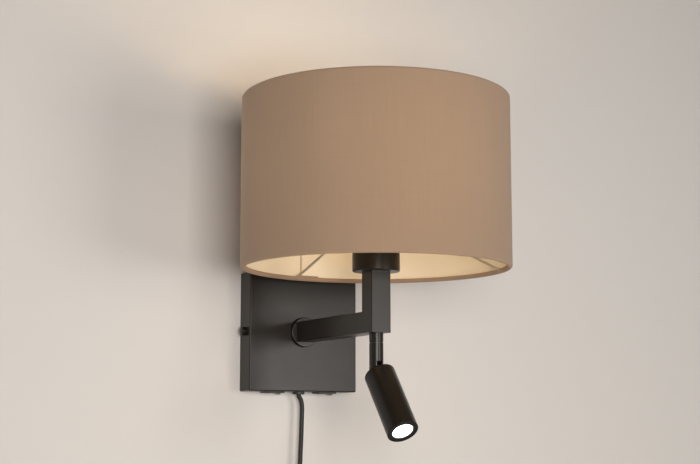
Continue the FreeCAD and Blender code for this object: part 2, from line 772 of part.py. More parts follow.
def make_lampholder():
    """Cup, screw-skirted holder, its contacts, the nipple under it and the clamp ring."""
    cup = turned(
        "socket_cup",
        [
            (NIPPLE_HOLE, "0"),
            (CUP_HALF + " - size.cup_round", "0"),
            (CUP_HALF, "size.cup_round", "size.cup_round", True),
            (CUP_HALF, "size.cup_tall"),
            (CUP_INSIDE, "size.cup_tall"),
            (CUP_INSIDE, "size.cup_wall"),
            (NIPPLE_HOLE, "size.cup_wall"),
        ],
        **ON_POST
    )
    nipple_top = "size.cup_wall + (%s - size.cup_wall) * %s" % (FLOOR_TOP, FLOOR_NIPPLE_SHARE)
    nipple = turned(
        "socket_nipple",
        [
            ("size.nipple_bore / 2", "-size.post_plug_thick - size.nipple_spare"),
            ("size.nipple_across / 2", "-size.post_plug_thick - size.nipple_spare"),
            ("size.nipple_across / 2", nipple_top),
            ("size.nipple_bore / 2", nipple_top),
        ],
        **ON_POST
    )
    inset = CUP_INSIDE + " - size.cup_gap"
    holder = turned(
        "lampholder_body",
        [
            (NIPPLE_HOLE, "size.cup_wall"),
            (inset, "size.cup_wall"),
            (inset, "size.cup_tall"),
            (CUP_HALF, "size.cup_tall"),
            (CUP_HALF, HOLDER_TOP),
            (SKIRT_HALF, HOLDER_TOP),
            (SKIRT_HALF, SKIRT_TOP),
            (HOLDER_BORE, SKIRT_TOP),
            (HOLDER_BORE, FLOOR_TOP),
            (NIPPLE_HOLE, FLOOR_TOP),
        ],
        **ON_POST
    )
    shell_out = SHELL_HALF + " + size.shell_thick"
    shell_base = FLOOR_TOP + " + size.shell_lift"
    shell = turned(
        "contact_shell",
        [
            (SHELL_HALF, shell_base),
            (shell_out, shell_base),
            (shell_out, shell_base + " + size.shell_tall"),
            (SHELL_HALF, shell_base + " + size.shell_tall"),
        ],
        **ON_POST
    )
    contact = turned(
        "centre_contact",
        [
            ("0", FLOOR_TOP),
            ("size.contact_across / 2 + size.shell_thick", FLOOR_TOP),
            ("size.contact_across / 2", BULB_SEAT),
            ("0", BULB_SEAT),
        ],
        **ON_POST
    )
    clamp_top = CLAMP_SEAT + " + size.clamp_tall"
    clamp = turned(
        "shade_clamp_ring",
        [
            (CLAMP_INSIDE, CLAMP_SEAT),
            (CLAMP_EDGE, CLAMP_SEAT),
            (CLAMP_EDGE, clamp_top + " - size.clamp_bevel"),
            (CLAMP_EDGE + " - size.clamp_bevel", clamp_top),
            (CLAMP_INSIDE, clamp_top),
        ],
        **ON_POST
    )
    notch = sketch_on(clamp, "clamp_notch_outline", "XY_Plane", CLAMP_SEAT)
    draw_circle(
        notch,
        "%s + size.clamp_notch / 2 - size.clamp_notch_deep" % CLAMP_EDGE,
        "0",
        "size.clamp_notch / 2",
    )
    grip = pocket(
        clamp, "clamp_notch", notch, "size.clamp_tall + size.overrun", forward=True
    )
    repeat_round(clamp, "clamp_notches", [grip], CLAMP_NOTCH_COUNT)
    return [cup, nipple, holder, shell, contact, clamp]


def make_bulb():
    """Screw cap, flared body and opal globe of the lamp bulb."""
    cap_half = "size.cap_across / 2"
    tip_half = "size.cap_tip_across / 2"
    tip_top = BULB_SEAT + " + size.cap_tip_tall"
    cap = turned(
        "bulb_cap",
        [
            ("0", BULB_SEAT),
            (tip_half, BULB_SEAT),
            (tip_half, tip_top),
            (cap_half + " - size.cap_shoulder", tip_top),
            (cap_half, tip_top + " + size.cap_shoulder"),
            (cap_half, BULB_NECK),
            ("0", BULB_NECK),
        ],
        **ON_POST
    )
    neck_half = cap_half + " + size.bulb_neck_thick"
    bulb_half = "size.bulb_across / 2"
    body = turned(
        "bulb_body",
        [
            ("0", BULB_NECK),
            (neck_half, BULB_NECK),
            (neck_half, BULB_FLARE),
            (bulb_half, BULB_BAND),
            (bulb_half, BULB_MIDDLE),
            ("0", BULB_MIDDLE),
        ],
        **ON_POST
    )
    inside = "(size.bulb_across / 2 - size.globe_wall)"
    globe = turned(
        "bulb_globe",
        [
            (inside, BULB_MIDDLE, inside, False),
            (bulb_half, BULB_MIDDLE),
            ("0", "%s + %s" % (BULB_MIDDLE, bulb_half), bulb_half, True),
            ("0", "%s + %s" % (BULB_MIDDLE, inside)),
        ],
        **ON_POST
    )
    return [cap, body, globe]


# Shade, drawn from its lower rim upwards

ON_RIM = {"y": "-size.reach", "z": "size.shade_base"}


def make_shade_fabric():
    """Drum of laminated fabric whose edges are rolled round the two ring wires, with a
    notch in the lower roll at each arm of the spider."""
    out = SHADE_HALF
    top = "size.shade_tall"
    skin = "size.fabric_thick"
    roll = "size.hem_round"
    inner = HEM_INSIDE
    channel = "(%s + size.fabric_thick)" % inner
    profile = [
        (out, roll),
        (out, "%s - %s" % (top, roll)),
        ("%s - %s" % (out, roll), top, roll, True),
        ("%s + %s" % (inner, roll), top),
        (inner, "%s - %s" % (top, roll), roll, True),
        (inner, top + " - size.hem_tall"),
        (channel, top + " - size.hem_tall"),
        (channel, "%s - %s" % (top, skin)),
        ("%s - %s" % (out, skin), "%s - %s" % (top, skin)),
        ("%s - %s" % (out, skin), skin),
        (channel, skin),
        (channel, "size.hem_tall"),
        (inner, "size.hem_tall"),
        (inner, roll),
        ("%s + %s" % (inner, roll), "0", roll, True),
        ("%s - %s" % (out, roll), "0"),
    ]
    profile[0] = (out, roll, roll, True)
    body = turned(
        "shade_fabric", profile, axis_turn=(Vector(0, 0, 1), "size.first_arm_angle"), **ON_RIM
    )
    start = "%s - size.overrun" % inner
    notch = sketch_on(body, "hem_notch_outline", "YZ_Plane", start)
    half = "(size.arm_wire / 2 + size.play)"
    draw_box(notch, "-" + half, half, skin, "size.hem_tall + size.overrun")
    depth = "size.fabric_thick + size.overrun * 2"
    cut = pocket(body, "hem_notch", notch, depth, forward=True)
    repeat_round(body, "hem_notches", [cut], SPIDER_ARM_COUNT)
    return body


def make_shade_liner():
    """Pale stiff liner behind the fabric, between the two ring wires."""
    outside = "%s - size.fabric_thick - size.thread_gap" % SHADE_HALF
    inside = outside + " - size.liner_thick"
    low = "%s + size.ring_wire / 2 + size.thread_gap" % WIRE_LIFT
    high = "size.shade_tall - (%s)" % low
    return turned(
        "shade_liner", [(inside, low), (outside, low), (outside, high), (inside, high)], **ON_RIM
    )


def ring_wire(label, lift):
    """Closed wire hoop that the fabric is rolled round."""
    ring = doc.addObject("Part::Torus", label)
    ring.Label = label
    ring.setExpression("Radius1", WIRE_HALF)
    ring.setExpression("Radius2", "size.ring_wire / 2")
    ring.setExpression("Placement.Base.y", "-size.reach")
    ring.setExpression("Placement.Base.z", "size.shade_base + " + lift)
    doc.recompute()
    return ring


def make_shade_spider():
    """Flat centre ring, and three bent wire arms between it and the lower hoop."""
    disc = new_body("spider_ring", y="-size.reach", z="size.shade_base")
    outline = sketch_on(disc, "spider_ring_outline", "XY_Plane", SPIDER_LIFT)
    draw_circle(outline, "0", "0", SPIDER_EDGE)
    draw_circle(outline, "0", "0", SPIDER_HOLE)
    pad(disc, "spider_ring_plate", outline, "size.spider_thick")

    height = number(SPIDER_LIFT + " + size.spider_thick / 2")
    edge = number(SPIDER_EDGE)
    rim = number(WIRE_HALF)
    wire = cell("arm_wire")
    foot_height = number(WIRE_LIFT)
    start = Vector(edge - wire, 0, height)
    bend = Vector(edge + cell("arm_flat"), 0, height)
    foot = Vector(rim, 0, foot_height)
    arm = tube_along(rounded_path([start, bend, foot], cell("arm_bend")), wire / 2)
    plug = Part.makeCylinder(edge, height + wire)
    hoop = Part.makeTorus(rim, cell("ring_wire") / 2, Vector(0, 0, foot_height))
    arm = arm.cut(plug).cut(hoop)
    arms = []
    for i in range(SPIDER_ARM_COUNT):
        turn = cell("first_arm_angle") + 360 * i / SPIDER_ARM_COUNT
        arms.append(arm.rotated(Vector(), Vector(0, 0, 1), turn))
    place = Vector(0, -cell("reach"), cell("shade_base"))
    return [disc, drawn("spider_arms", Part.makeCompound(arms), place)]


def rounded_path(points, radius=None):
    """Edges of a route: straight runs joined by tangent arcs. Without a given radius, each
    arc is as large as its two runs allow: 0.45 of the shorter one at each side."""
    edges = []
    radii = []
    here = points[0]
    for before, corner, after in zip(points, points[1:], points[2:]):
        way_in = (corner - before).normalize()
        way_out = (after - corner).normalize()
        half_turn = way_in.getAngle(way_out) / 2
        shorter = min((corner - before).Length, (after - corner).Length)
        arc_radius = radius or ARC_SHARE * shorter / math.tan(half_turn)
        cut = arc_radius * math.tan(half_turn)
        start = corner - way_in * cut
        end = corner + way_out * cut
        inward = (way_out - way_in).normalize()
        middle = corner + inward * (arc_radius / math.cos(half_turn) - arc_radius)
        edges.append(Part.LineSegment(here, start).toShape())
        edges.append(Part.Arc(start, middle, end).toShape())
        radii.append(arc_radius)
        here = end
    edges.append(Part.LineSegment(here, points[-1]).toShape())
    if radius is None:
        print("arc radii:", " ".join("%.1f" % r for r in radii))
    return edges


def make_shade():
    """Fabric, liner, both hoops and the spider."""
    pieces = [make_shade_fabric(), make_shade_liner()]
    pieces.append(ring_wire("shade_top_ring", "size.shade_tall - " + WIRE_LIFT))
    pieces.append(ring_wire("shade_bottom_ring", WIRE_LIFT))
    return pieces + make_shade_spider()


# Reading light: stem, swivel and fork

UNDER_POST = {"y": "-size.reach", "z": STEM_TOP}
AT_PIVOT = {"y": "-size.reach", "z": PIVOT_LIFT}


def make_spot_stem():
    """Fixed stem, hollow swivel pin with its nut, and the washer in the swivel joint."""
    bore = "size.swivel_across / 2 + size.thread_gap"
    rim = "size.stem_across / 2"
    low = "-size.stem_tall"
    stem = turned(
        "spot_stem",
        [
            (bore, "0"),
            (rim, "0"),
            (rim, low + " + size.stem_bevel"),
            (rim + " - size.stem_bevel", low),
            (bore, low),
        ],
        **UNDER_POST
    )
    washer = turned(
        "swivel_washer",
        [
            (bore, low),
            ("size.joint_washer_across / 2", low),
            ("size.joint_washer_across / 2", low + " - size.joint_washer_thick"),
            (bore, low + " - size.joint_washer_thick"),
        ],
        **UNDER_POST
    )
    hollow = "size.swivel_bore / 2"
    shank = "size.swivel_across / 2"
    shelf = "%s - size.joint_washer_thick - size.swivel_grip - size.running_gap" % low
    top = "size.post_plug_thick + size.swivel_nut_thick + size.swivel_spare"
    pin = turned(
        "swivel_pin",
        [
            (hollow, top),
            (shank, top),
            (shank, shelf),
            ("size.swivel_head_across / 2", shelf),
            ("size.swivel_head_across / 2", shelf + " - size.swivel_head_tall"),
            (hollow, shelf + " - size.swivel_head_tall"),
        ],
        **UNDER_POST
    )
    nut = new_body("swivel_nut", **UNDER_POST)
    section = sketch_on(nut, "swivel_nut_section", "XY_Plane", "size.post_plug_thick")
    draw_hexagon(section, "size.swivel_nut_flats")
    draw_circle(section, "0", "0", bore)
    pad(nut, "swivel_nut_block", section, "size.swivel_nut_thick")
    return [stem, washer, pin, nut]


def make_swivel_fork():
    """Turning rod with a slotted, rounded end that takes the head's lug."""
    rim = "size.stem_across / 2"
    bore = "size.swivel_across / 2 + size.running_gap"
    well = "size.swivel_head_across / 2 + size.play"
    body = turned(
        "swivel_fork",
        [
            (bore, "size.fork_drop"),
            (rim + " - size.stem_bevel", "size.fork_drop"),
            (rim, "size.fork_drop - size.stem_bevel"),
            (rim, "-" + rim),
            ("0", "-" + rim),
            ("0", SLOT_TOP),
            (well, SLOT_TOP),
            (well, FORK_SHELF),
            (bore, FORK_SHELF),
        ],
        **AT_PIVOT
    )
    slot = sketch_on(body, "fork_slot_outline", "XZ_Plane")
    half = "(size.slot_wide / 2)"
    draw_box(slot, "-" + half, half, "-size.stem_across / 2 - size.overrun", SLOT_TOP)
    pocket(body, "fork_slot", slot, "size.stem_across + size.overrun", both=True)
    ears = sketch_on(body, "fork_ears_outline", "YZ_Plane")
    wide = "(size.stem_across / 2 + size.overrun)"
    draw_outline(
        ears,
        [
            ("-" + wide, "-" + wide),
            (wide, "-" + wide),
            (wide, "0"),
            (rim, "0"),
            ("0", "-" + rim, rim, False),
            ("-" + rim, "0", rim, False),
            ("-" + wide, "0"),
        ],
    )
    pocket(body, "fork_ears", ears, "size.stem_across + size.overrun", both=True)
    eye = sketch_on(body, "fork_eye_outline", "YZ_Plane")
    draw_circle(eye, "0", "0", "size.pivot_across / 2 + size.thread_gap")
    pocket(body, "fork_eye", eye, "size.stem_across + size.overrun", both=True)
    return body


def make_pivot_pin():
    """Cross pin that the head tilts on."""
    pin = doc.addObject("Part::Cylinder", "pivot_pin")
    pin.Label = "pivot_pin"
    pin.Placement = FreeCAD.Placement(Vector(), FreeCAD.Rotation(Vector(0, 1, 0), 90))
    pin.setExpression("Radius", "size.pivot_across / 2")
    pin.setExpression("Height", "size.stem_across - size.seat_gap * 2")
    pin.setExpression("Placement.Base.x", "size.seat_gap - size.stem_across / 2")
    pin.setExpression("Placement.Base.y", "-size.reach")
    pin.setExpression("Placement.Base.z", PIVOT_LIFT)
    doc.recompute()
    return pin


# Reading light head, drawn hanging from its pivot and then tilted forwards

TILTED = dict(AT_PIVOT, axis_turn=(Vector(1, 0, 0), "-size.tilt_angle"))


def make_tail_cap():
    """Rear cap of the head, with the lug that turns on the pivot pin."""
    back = "-size.tail_gap"
    step = TUBE_BACK + " - size.tail_spigot"
    body = turned(
        "spot_tail_cap",
        [
            ("0", back),
            (HEAD_HALF + " - size.tail_bevel", back),
            (HEAD_HALF, back + " - size.tail_bevel"),
            (HEAD_HALF, TUBE_BACK),
            (SPIGOT_HALF, TUBE_BACK),
            (SPIGOT_HALF, step),
            ("0", step),
        ],
        **TILTED
    )
    lug = sketch_on(body, "lug_outline", "YZ_Plane")
    reach = "size.lug_radius"
    draw_outline(
        lug,
        [
            ("-" + reach, back + " - size.tail_bevel"),
            (reach, back + " - size.tail_bevel"),
            (reach, "0"),
            ("0", reach, reach, True),
            ("-" + reach, "0", reach, True),
        ],
    )
    pad(body, "lug", lug, "size.lug_thick", both=True)
    eye = sketch_on(body, "lug_eye_outline", "YZ_Plane")
    draw_circle(eye, "0", "0", "size.pivot_across / 2 + size.running_gap")
    pocket(body, "lug_eye", eye, "size.lug_thick + size.overrun", both=True)
    return body


def make_spot_tube():
    """Round tube that is the head's casing."""
    bevel = "size.head_bevel"
    return turned(
        "spot_tube",
        [
            (HEAD_INSIDE, TUBE_BACK),
            (HEAD_HALF, TUBE_BACK),
            (HEAD_HALF, "%s + %s" % (HEAD_FRONT, bevel)),
            ("%s - %s" % (HEAD_HALF, bevel), HEAD_FRONT),
            (HEAD_INSIDE, HEAD_FRONT),
        ],
        **TILTED
    )


def make_heat_sink():
    """Finned aluminium plug that carries the light source."""
    body = turned(
        "spot_heat_sink",
        [("0", SINK_FRONT), (SPIGOT_HALF, SINK_FRONT), (SPIGOT_HALF, SINK_BACK), ("0", SINK_BACK)],
        **TILTED
    )
    first = "(%s - size.fin_pitch + size.fin_gap)" % SINK_BACK
    profile = sketch_on(body, "fin_gap_outline", "XZ_Plane")
    draw_box(
        profile,
        "size.sink_core_across / 2",
        HEAD_HALF,
        "%s - size.fin_gap" % first,
        first,
    )
    groove = body.newObject("PartDesign::Groove", "fin_groove")
    groove.Profile = (profile, [""])
    groove.ReferenceAxis = (profile, ["V_Axis"])
    groove.Angle = 360
    doc.recompute()
    rows = body.newObject("PartDesign::LinearPattern", "fin_grooves")
    rows.Originals = [groove]
    down = [f for f in body.Origin.OriginFeatures if f.Role == "Z_Axis"][0]
    rows.Direction = (down, [""])
    rows.Reversed = True
    rows.setExpression("Length", "size.fin_pitch * %d" % (SINK_GROOVE_COUNT - 1))
    rows.Occurrences = SINK_GROOVE_COUNT
    before = body.Shape.Volume
    body.Tip = rows
    doc.recompute()
    if not body.Shape.Volume < before:
        raise RuntimeError("the fins are not cut")
    return body


def make_spot_optics():
    """Board with the light source, the cone-shaped optic, the lens and its bezel."""
    board = turned(
        "led_board",
        [("0", BOARD_FRONT), (SPIGOT_HALF, BOARD_FRONT), (SPIGOT_HALF, SINK_FRONT), ("0", SINK_FRONT)],
        **TILTED
    )
    optic_half = LENS_HALF + " - size.optic_gap"
    optic = turned(
        "spot_optic",
        [
            ("0", OPTIC_FRONT),
            (optic_half, OPTIC_FRONT),
            (optic_half, OPTIC_FRONT + " + size.lens_face_deep"),
            ("size.optic_small_across / 2", BOARD_FRONT),
            ("0", BOARD_FRONT),
        ],
        **TILTED
    )
    clear = LENS_CLEAR + " - size.running_gap"
    lens = turned(
        "spot_lens",
        [
            ("0", BEZEL_FRONT),
            (clear, BEZEL_FRONT),
            (clear, LENS_SEAT),
            (LENS_HALF, LENS_SEAT),
            (LENS_HALF, LENS_BACK),
            ("0", LENS_BACK),
        ],
        **TILTED
    )
    back = BEZEL_FRONT + " + size.bezel_long"
    seat = LENS_HALF + " + size.running_gap"
    bezel = turned(
        "lens_bezel",
        [
            (LENS_CLEAR, BEZEL_FRONT),
            (SPIGOT_HALF, BEZEL_FRONT),
            (SPIGOT_HALF, back),
            (seat, back),
            (seat, LENS_SEAT),
            (LENS_CLEAR, LENS_SEAT),
        ],
        **TILTED
    )
    return [board, optic, lens, bezel]


# Rocker switches

def make_switch(label, side):
    """Snap-in housing and its rocker, the rocker resting on its left stop."""
    middle = side + "size.switch_offset"
    place = {"x": middle, "y": "-" + MID_DEPTH, "z": UNDERSIDE}
    housing = new_body("switch_housing_" + label, **place)
    name = "switch_%s_" % label
    lip = sketch_on(housing, name + "lip_outline", "XY_Plane", "-size.switch_lip")
    lip_long = "(%s + size.switch_rim)" % SWITCH_HALF_LONG
    lip_wide = "(%s + size.switch_rim)" % SWITCH_HALF_WIDE
    draw_box(lip, "-" + lip_long, lip_long, "-" + lip_wide, lip_wide)
    pad(housing, name + "lip", lip, "size.switch_lip")
    fillet(
        housing,
        name + "lip_edges",
        "size.switch_lip / 2",
        lambda e: runs_along(e, "z") or near(e.BoundBox.ZMax, -cell("switch_lip")),
    )
    block = sketch_on(housing, name + "block_outline", "XY_Plane")
    long, wide = SWITCH_HALF_LONG, SWITCH_HALF_WIDE
    draw_box(block, "-" + long, long, "-" + wide, wide)
    pad(housing, name + "block", block, "size.switch_body_tall")
    blades = sketch_on(housing, name + "blades_outline", "XY_Plane", "size.switch_body_tall")
    for hand in ("-", ""):
        where = hand + "size.blade_spacing / 2"
        draw_box(
            blades,
            where + " - size.blade_thick / 2",
            where + " + size.blade_thick / 2",
            "-size.blade_wide / 2",
            "size.blade_wide / 2",
        )
    pad(housing, name + "blades", blades, "size.blade_tall")
    well = sketch_on(housing, name + "well_outline", "XY_Plane", "-size.switch_lip")
    long, wide = WELL_HALF_LONG, WELL_HALF_WIDE
    draw_box(well, "-" + long, long, "-" + wide, wide)
    deep = "size.switch_lip + size.switch_well_deep"
    pocket(housing, name + "well", well, deep, forward=True)
    sockets = sketch_on(housing, name + "sockets_outline", "XZ_Plane")
    hole = "size.trunnion_across / 2 + size.running_gap"
    draw_circle(sockets, "0", "size.rocker_lift", hole)
    across = "size.rocker_wide + size.trunnion_long * 2 + size.play * 2"
    pocket(housing, name + "sockets", sockets, across, both=True)

    rocker = new_body(
        "switch_rocker_" + label,
        x=middle,
        y="-" + MID_DEPTH,
        z=UNDERSIDE + " + size.rocker_lift",
        axis=Vector(0, 1, 0),
        turn="size.rocker_angle",
    )
    shape = sketch_on(rocker, name + "rocker_outline", "XZ_Plane")
    end = ROCKER_HALF
    tip = "-size.rocker_deep - %s * tan(size.rocker_angle)" % ROCKER_HALF
    draw_outline(
        shape,
        [
            ("0", "-size.rocker_deep"),
            (end, tip),
            (end, "-size.rocker_cheek"),
            ("size.rocker_keel", "size.rocker_cheek"),
            ("-size.rocker_keel", "size.rocker_cheek"),
            ("-" + end, "-size.rocker_cheek"),
            ("-" + end, tip),
        ],
    )
    pad(rocker, name + "rocker_block", shape, "size.rocker_wide", both=True)
    pins = sketch_on(rocker, name + "trunnion_outline", "XZ_Plane")
    draw_circle(pins, "0", "0", "size.trunnion_across / 2")
    pin_long = "size.rocker_wide + size.trunnion_long * 2"
    pad(rocker, name + "trunnions", pins, pin_long, both=True)
    return [housing, rocker]


# Cord outlet, terminal block and driver

def make_outlet():
    """Cord outlet with its nut, and the cord's end inside it up to the terminal block."""
    place = {"y": "-" + MID_DEPTH, "z": UNDERSIDE}
    bore = "size.cord_across / 2 + size.thread_gap"
    rim = "size.gland_across / 2"
    low = "-size.gland_tall"
    gland = turned(
        "cord_outlet",
        [
            (bore, low),
            (rim + " - size.gland_round", low),
            (rim, low + " + size.gland_round", "size.gland_round", True),
            (rim, "0"),
            ("size.gland_barrel_across / 2", "0"),
            ("size.gland_barrel_across / 2", "size.gland_barrel_tall"),
            (bore, "size.gland_barrel_tall"),
        ],
        **place
    )
    nut = new_body("outlet_nut", **place)
    section = sketch_on(nut, "outlet_nut_section", "XY_Plane", "size.cover_wall")
    draw_hexagon(section, "size.gland_nut_flats")
    draw_circle(section, "0", "0", "size.gland_barrel_across / 2 + size.thread_gap")
    pad(nut, "outlet_nut_block", section, "size.gland_nut_thick")
    lead = doc.addObject("Part::Cylinder", "cord_lead_in")
    lead.Label = "cord_lead_in"
    lead.setExpression("Radius", "size.cord_across / 2")
    lead.setExpression("Height", "size.lead_long")
    lead.setExpression("Placement.Base.y", "-" + MID_DEPTH)
    lead.setExpression("Placement.Base.z", OUTLET_FACE)
    doc.recompute()
    return [gland, nut, lead]


def make_terminal_block():
    """Two-pole terminal block on the bracket, with its clamping screws."""
    body = new_body("terminal_block")
    section = sketch_on(body, "block_outline", "XY_Plane", BLOCK_BASE)
    back = "-size.bracket_thick"
    front = "-%s - size.block_past_cord" % MID_DEPTH
    draw_box(section, "-size.block_long / 2", "size.block_long / 2", front, back)
    pad(body, "block", section, "size.block_tall")
    holes_lift = "%s + size.block_tall" % BLOCK_BASE
    holes = sketch_on(body, "block_holes_outline", "XY_Plane", holes_lift)
    for side in ("-", ""):
        where = side + "size.block_pole_spacing / 2"
        draw_circle(holes, where, "-" + MID_DEPTH, "size.block_hole / 2")
    pocket(body, "block_holes", holes, "size.block_hole_deep")
    screws = []
    for label, side in (("left", "-"), ("right", "")):
        screw = doc.addObject("Part::Cylinder", "terminal_screw_" + label)
        screw.Placement = FreeCAD.Placement(Vector(), FreeCAD.Rotation(Vector(1, 0, 0), 90))
        screw.setExpression("Radius", "size.block_screw_across / 2")
        screw.setExpression("Height", "size.block_screw_tall")
        screw.setExpression("Placement.Base.x", side + "size.block_pole_spacing / 2")
        screw.setExpression("Placement.Base.y", front)
        screw.setExpression("Placement.Base.z", "%s + size.block_tall / 2" % BLOCK_BASE)
        screws.append(screw)
    return [body, grouped("terminal_screws", screws)]


def make_led_driver():
    """Small potted driver for the reading light, on the bracket."""
    body = new_body("led_driver")
    section = sketch_on(body, "driver_outline", "XZ_Plane", "size.bracket_thick")
    draw_box(
        section,
        "-size.driver_long / 2",
        "size.driver_long / 2",
        "size.driver_lift",
        "size.driver_lift + size.driver_tall",
    )
    pad(body, "driver_case", section, "size.driver_deep")
    fillet(body, "driver_edges", "size.driver_round", lambda e: runs_along(e, "y"))
    return body


# Cord, coil, tie and plug

def on_route(start, route):
    """Points of a route that is given from its start."""
    return [start + Vector(*step) for step in route]


def coil_place(turns, middle):
    """Point of the coil's centre line after so many turns, counted from its left side and
    turning down first. The radius goes in and out again at a steady rate, and the line
    climbs a layer in the half turn about each place where the radius turns back."""
    layer_turns = LAYER_TURN_COUNT
    pitch = number(COIL_PITCH)
    within = turns % (2 * layer_turns)
    radius = cell("coil_radius") - pitch * (layer_turns - abs(within - layer_turns))
    climbed = 0
    for layer in range(1, COIL_LAYER_COUNT):
        through = (turns - layer * layer_turns) / CLIMB_TURNS_SHARE + 0.5
        through = min(max(through, 0), 1)
        climbed += (1 - math.cos(math.pi * through)) / 2
    angle = math.pi + 2 * math.pi * turns
    around = Vector(radius * math.cos(angle), 0, radius * math.sin(angle))
    return middle + around + Vector(0, -pitch * climbed, 0)


def coil_heading(turns, middle):
    """Direction of the coil's centre line, straight down at both its ends."""
    last = COIL_LAYER_COUNT * LAYER_TURN_COUNT
    if turns in (0, last):
        return Vector(0, 0, -1)
    ahead = coil_place(turns + COIL_STEP_SHARE, middle)
    behind = coil_place(turns - COIL_STEP_SHARE, middle)
    return (ahead - behind).normalize()


def arc_from_tangents(start, corner, end):
    """Arc that leaves its start and reaches its end along the lines to the corner."""
    half = (end - start).Length / 2
    middle = (start + end) * 0.5
    rise = (corner - middle).Length
    turn = math.atan2(rise, half)
    return Part.Arc(start, middle + (corner - middle) * (half * math.tan(turn / 2) / rise), end)


def biarc(start, start_way, end, end_way):
    """Two arcs that join two points, each along its own direction."""
    chord = end - start
    both = start_way + end_way
    spread = 2 * (1 - start_way.dot(end_way))
    along = chord.dot(both)
    reach = (math.sqrt(along * along + spread * chord.dot(chord)) - along) / spread
    first = start + start_way * reach
    last = end - end_way * reach
    joint = (first + last) * 0.5
    return [arc_from_tangents(start, first, joint), arc_from_tangents(joint, last, end)]


def least_self_gap(points, across, skip):
    """Least gap between stretches of a tube that are not next to each other."""
    least = None
    for i, point in enumerate(points):
        for other in points[i + skip:]:
            gap = (other - point).Length - across
            if least is None or gap < least:
                least = gap
    return least


def make_coil(start):
    """Eight turns of cord in four layers, one unbroken tube, straight at both its ends."""
    across = cell("cord_across")
    lead = Vector(0, 0, -across)
    first = start + lead
    middle = first + Vector(cell("coil_radius"), 0, 0)
    quarters = COIL_LAYER_COUNT * LAYER_TURN_COUNT * QUARTER_COUNT
    edges = [Part.LineSegment(start, first).toShape()]
    for i in range(quarters):
        turns, after = i / QUARTER_COUNT, (i + 1) / QUARTER_COUNT
        arcs = biarc(
            coil_place(turns, middle),
            coil_heading(turns, middle),
            coil_place(after, middle),
            coil_heading(after, middle),
        )
        edges += [arc.toShape() for arc in arcs]
    last = coil_place(quarters / QUARTER_COUNT, middle)
    end = last + lead
    edges.append(Part.LineSegment(last, end).toShape())
    tube = tube_along(edges, across / 2)
    check_tube("coil", tube, edges)
    samples = [p for e in edges for p in e.discretize(ARC_SAMPLE_COUNT)[:-1]]
    gap = least_self_gap(samples, across, ARC_SAMPLE_COUNT * QUARTER_COUNT)
    print("coil: least gap to itself %.2f" % gap)
    return drawn("cord_coil", tube), middle, end


def check_tube(name, tube, edges):
    """Prints a tube's length, and its volume against its section times that length."""
    length = sum(e.Length for e in edges)
    wanted = math.pi * cell("cord_across") ** 2 / 4 * length
    print("%s: length %.1f, volume share %.4f" % (name, length, tube.Volume / wanted))


def make_tie(middle):
    """Cable tie round all the turns at the top of the coil."""
    pitch = number(COIL_PITCH)
    half_cord = cell("cord_across") / 2
    gap = cell("seat_gap")
    band = cell("tie_thick")
    steady = LAYER_TURN_COUNT - TIE_TURNS_SHARE
    low = cell("coil_radius") - pitch * steady - half_cord - gap
    high = cell("coil_radius") - pitch * TIE_TURNS_SHARE + half_cord + gap
    back = half_cord + gap
    front = -pitch * (COIL_LAYER_COUNT - 1) - half_cord - gap
    half = cell("tie_wide") / 2
    corner = middle + Vector(-half, front, low)
    hollow = Part.makeBox(cell("tie_wide"), back - front, high - low, corner)
    out = Vector(0, band, band)
    around = Part.makeBox(
        cell("tie_wide"), back - front + 2 * band, high - low + 2 * band, corner - out
    )
    along = [e for e in around.Edges if runs_along(e, "x")]
    around = around.makeFillet(band, along)
    lock_long = cell("tie_lock_long")
    lock = Part.makeBox(
        cell("tie_wide"),
        cell("tie_lock_thick"),
        lock_long,
        middle + Vector(-half, front - cell("tie_lock_thick"), (low + high - lock_long) / 2),
    )
    return drawn("coil_tie", around.fuse(lock).cut(hollow).removeSplitter())


def make_plug(top):
    """Flat two-pin plug that hangs from the cord's end."""
    place = {"x": str(top.x), "y": str(top.y), "z": str(top.z)}
    body = new_body("plug_body", **place)
    outline = sketch_on(body, "plug_outline", "XZ_Plane")
    neck = "size.plug_neck_across / 2"
    half = "size.plug_across / 2"
    low = "-size.plug_tall"
    draw_outline(
        outline,
        [
            (neck, "0"),
            ("-" + neck, "0"),
            ("-%s - size.overrun" % neck, "-size.plug_neck_tall"),
            ("-" + half, "-size.plug_shoulder_tall"),
            ("-" + half, low),
            (half, low),
            (half, "-size.plug_shoulder_tall"),
            (neck + " + size.overrun", "-size.plug_neck_tall"),
        ],
    )
    pad(body, "plug_block", outline, "size.plug_thick", both=True)
    thin = sketch_on(body, "plug_side_outline", "YZ_Plane")
    deep = "size.plug_thick / 2"
    wide = "(size.plug_thick / 2 + size.overrun)"
    for side in ("-", ""):
        draw_outline(
            thin,
            [
                (side + neck, "size.overrun"),
                (side + neck, "-size.plug_neck_tall"),
                (side + deep, "-size.plug_shoulder_tall"),
                (side + wide, "-size.plug_shoulder_tall"),
                (side + wide, "size.overrun"),
            ],
        )
    pocket(body, "plug_sides", thin, "size.plug_across + size.overrun", both=True)
    fillet(
        body,
        "plug_edges",
        "size.plug_round",
        lambda e: runs_along(e, "z") and near(e.BoundBox.ZMin, -cell("plug_tall")),
    )
    pins = []
    for label, side in (("left", "-"), ("right", "")):
        pins.append(
            turned(
                "plug_pin_" + label,
                [
                    ("0", "0"),
                    ("size.pin_across / 2", "0"),
                    ("size.pin_across / 2", "-size.pin_long + size.pin_bevel"),
                    ("size.pin_across / 2 - size.pin_bevel", "-size.pin_long"),
                    ("0", "-size.pin_long"),
                ],
                x="%s %ssize.pin_spacing / 2" % (top.x, side or "+ "),
                y=str(top.y),
                z="%s - size.plug_tall" % top.z,
            )
        )
    return [body, grouped("plug_pins", pins)]


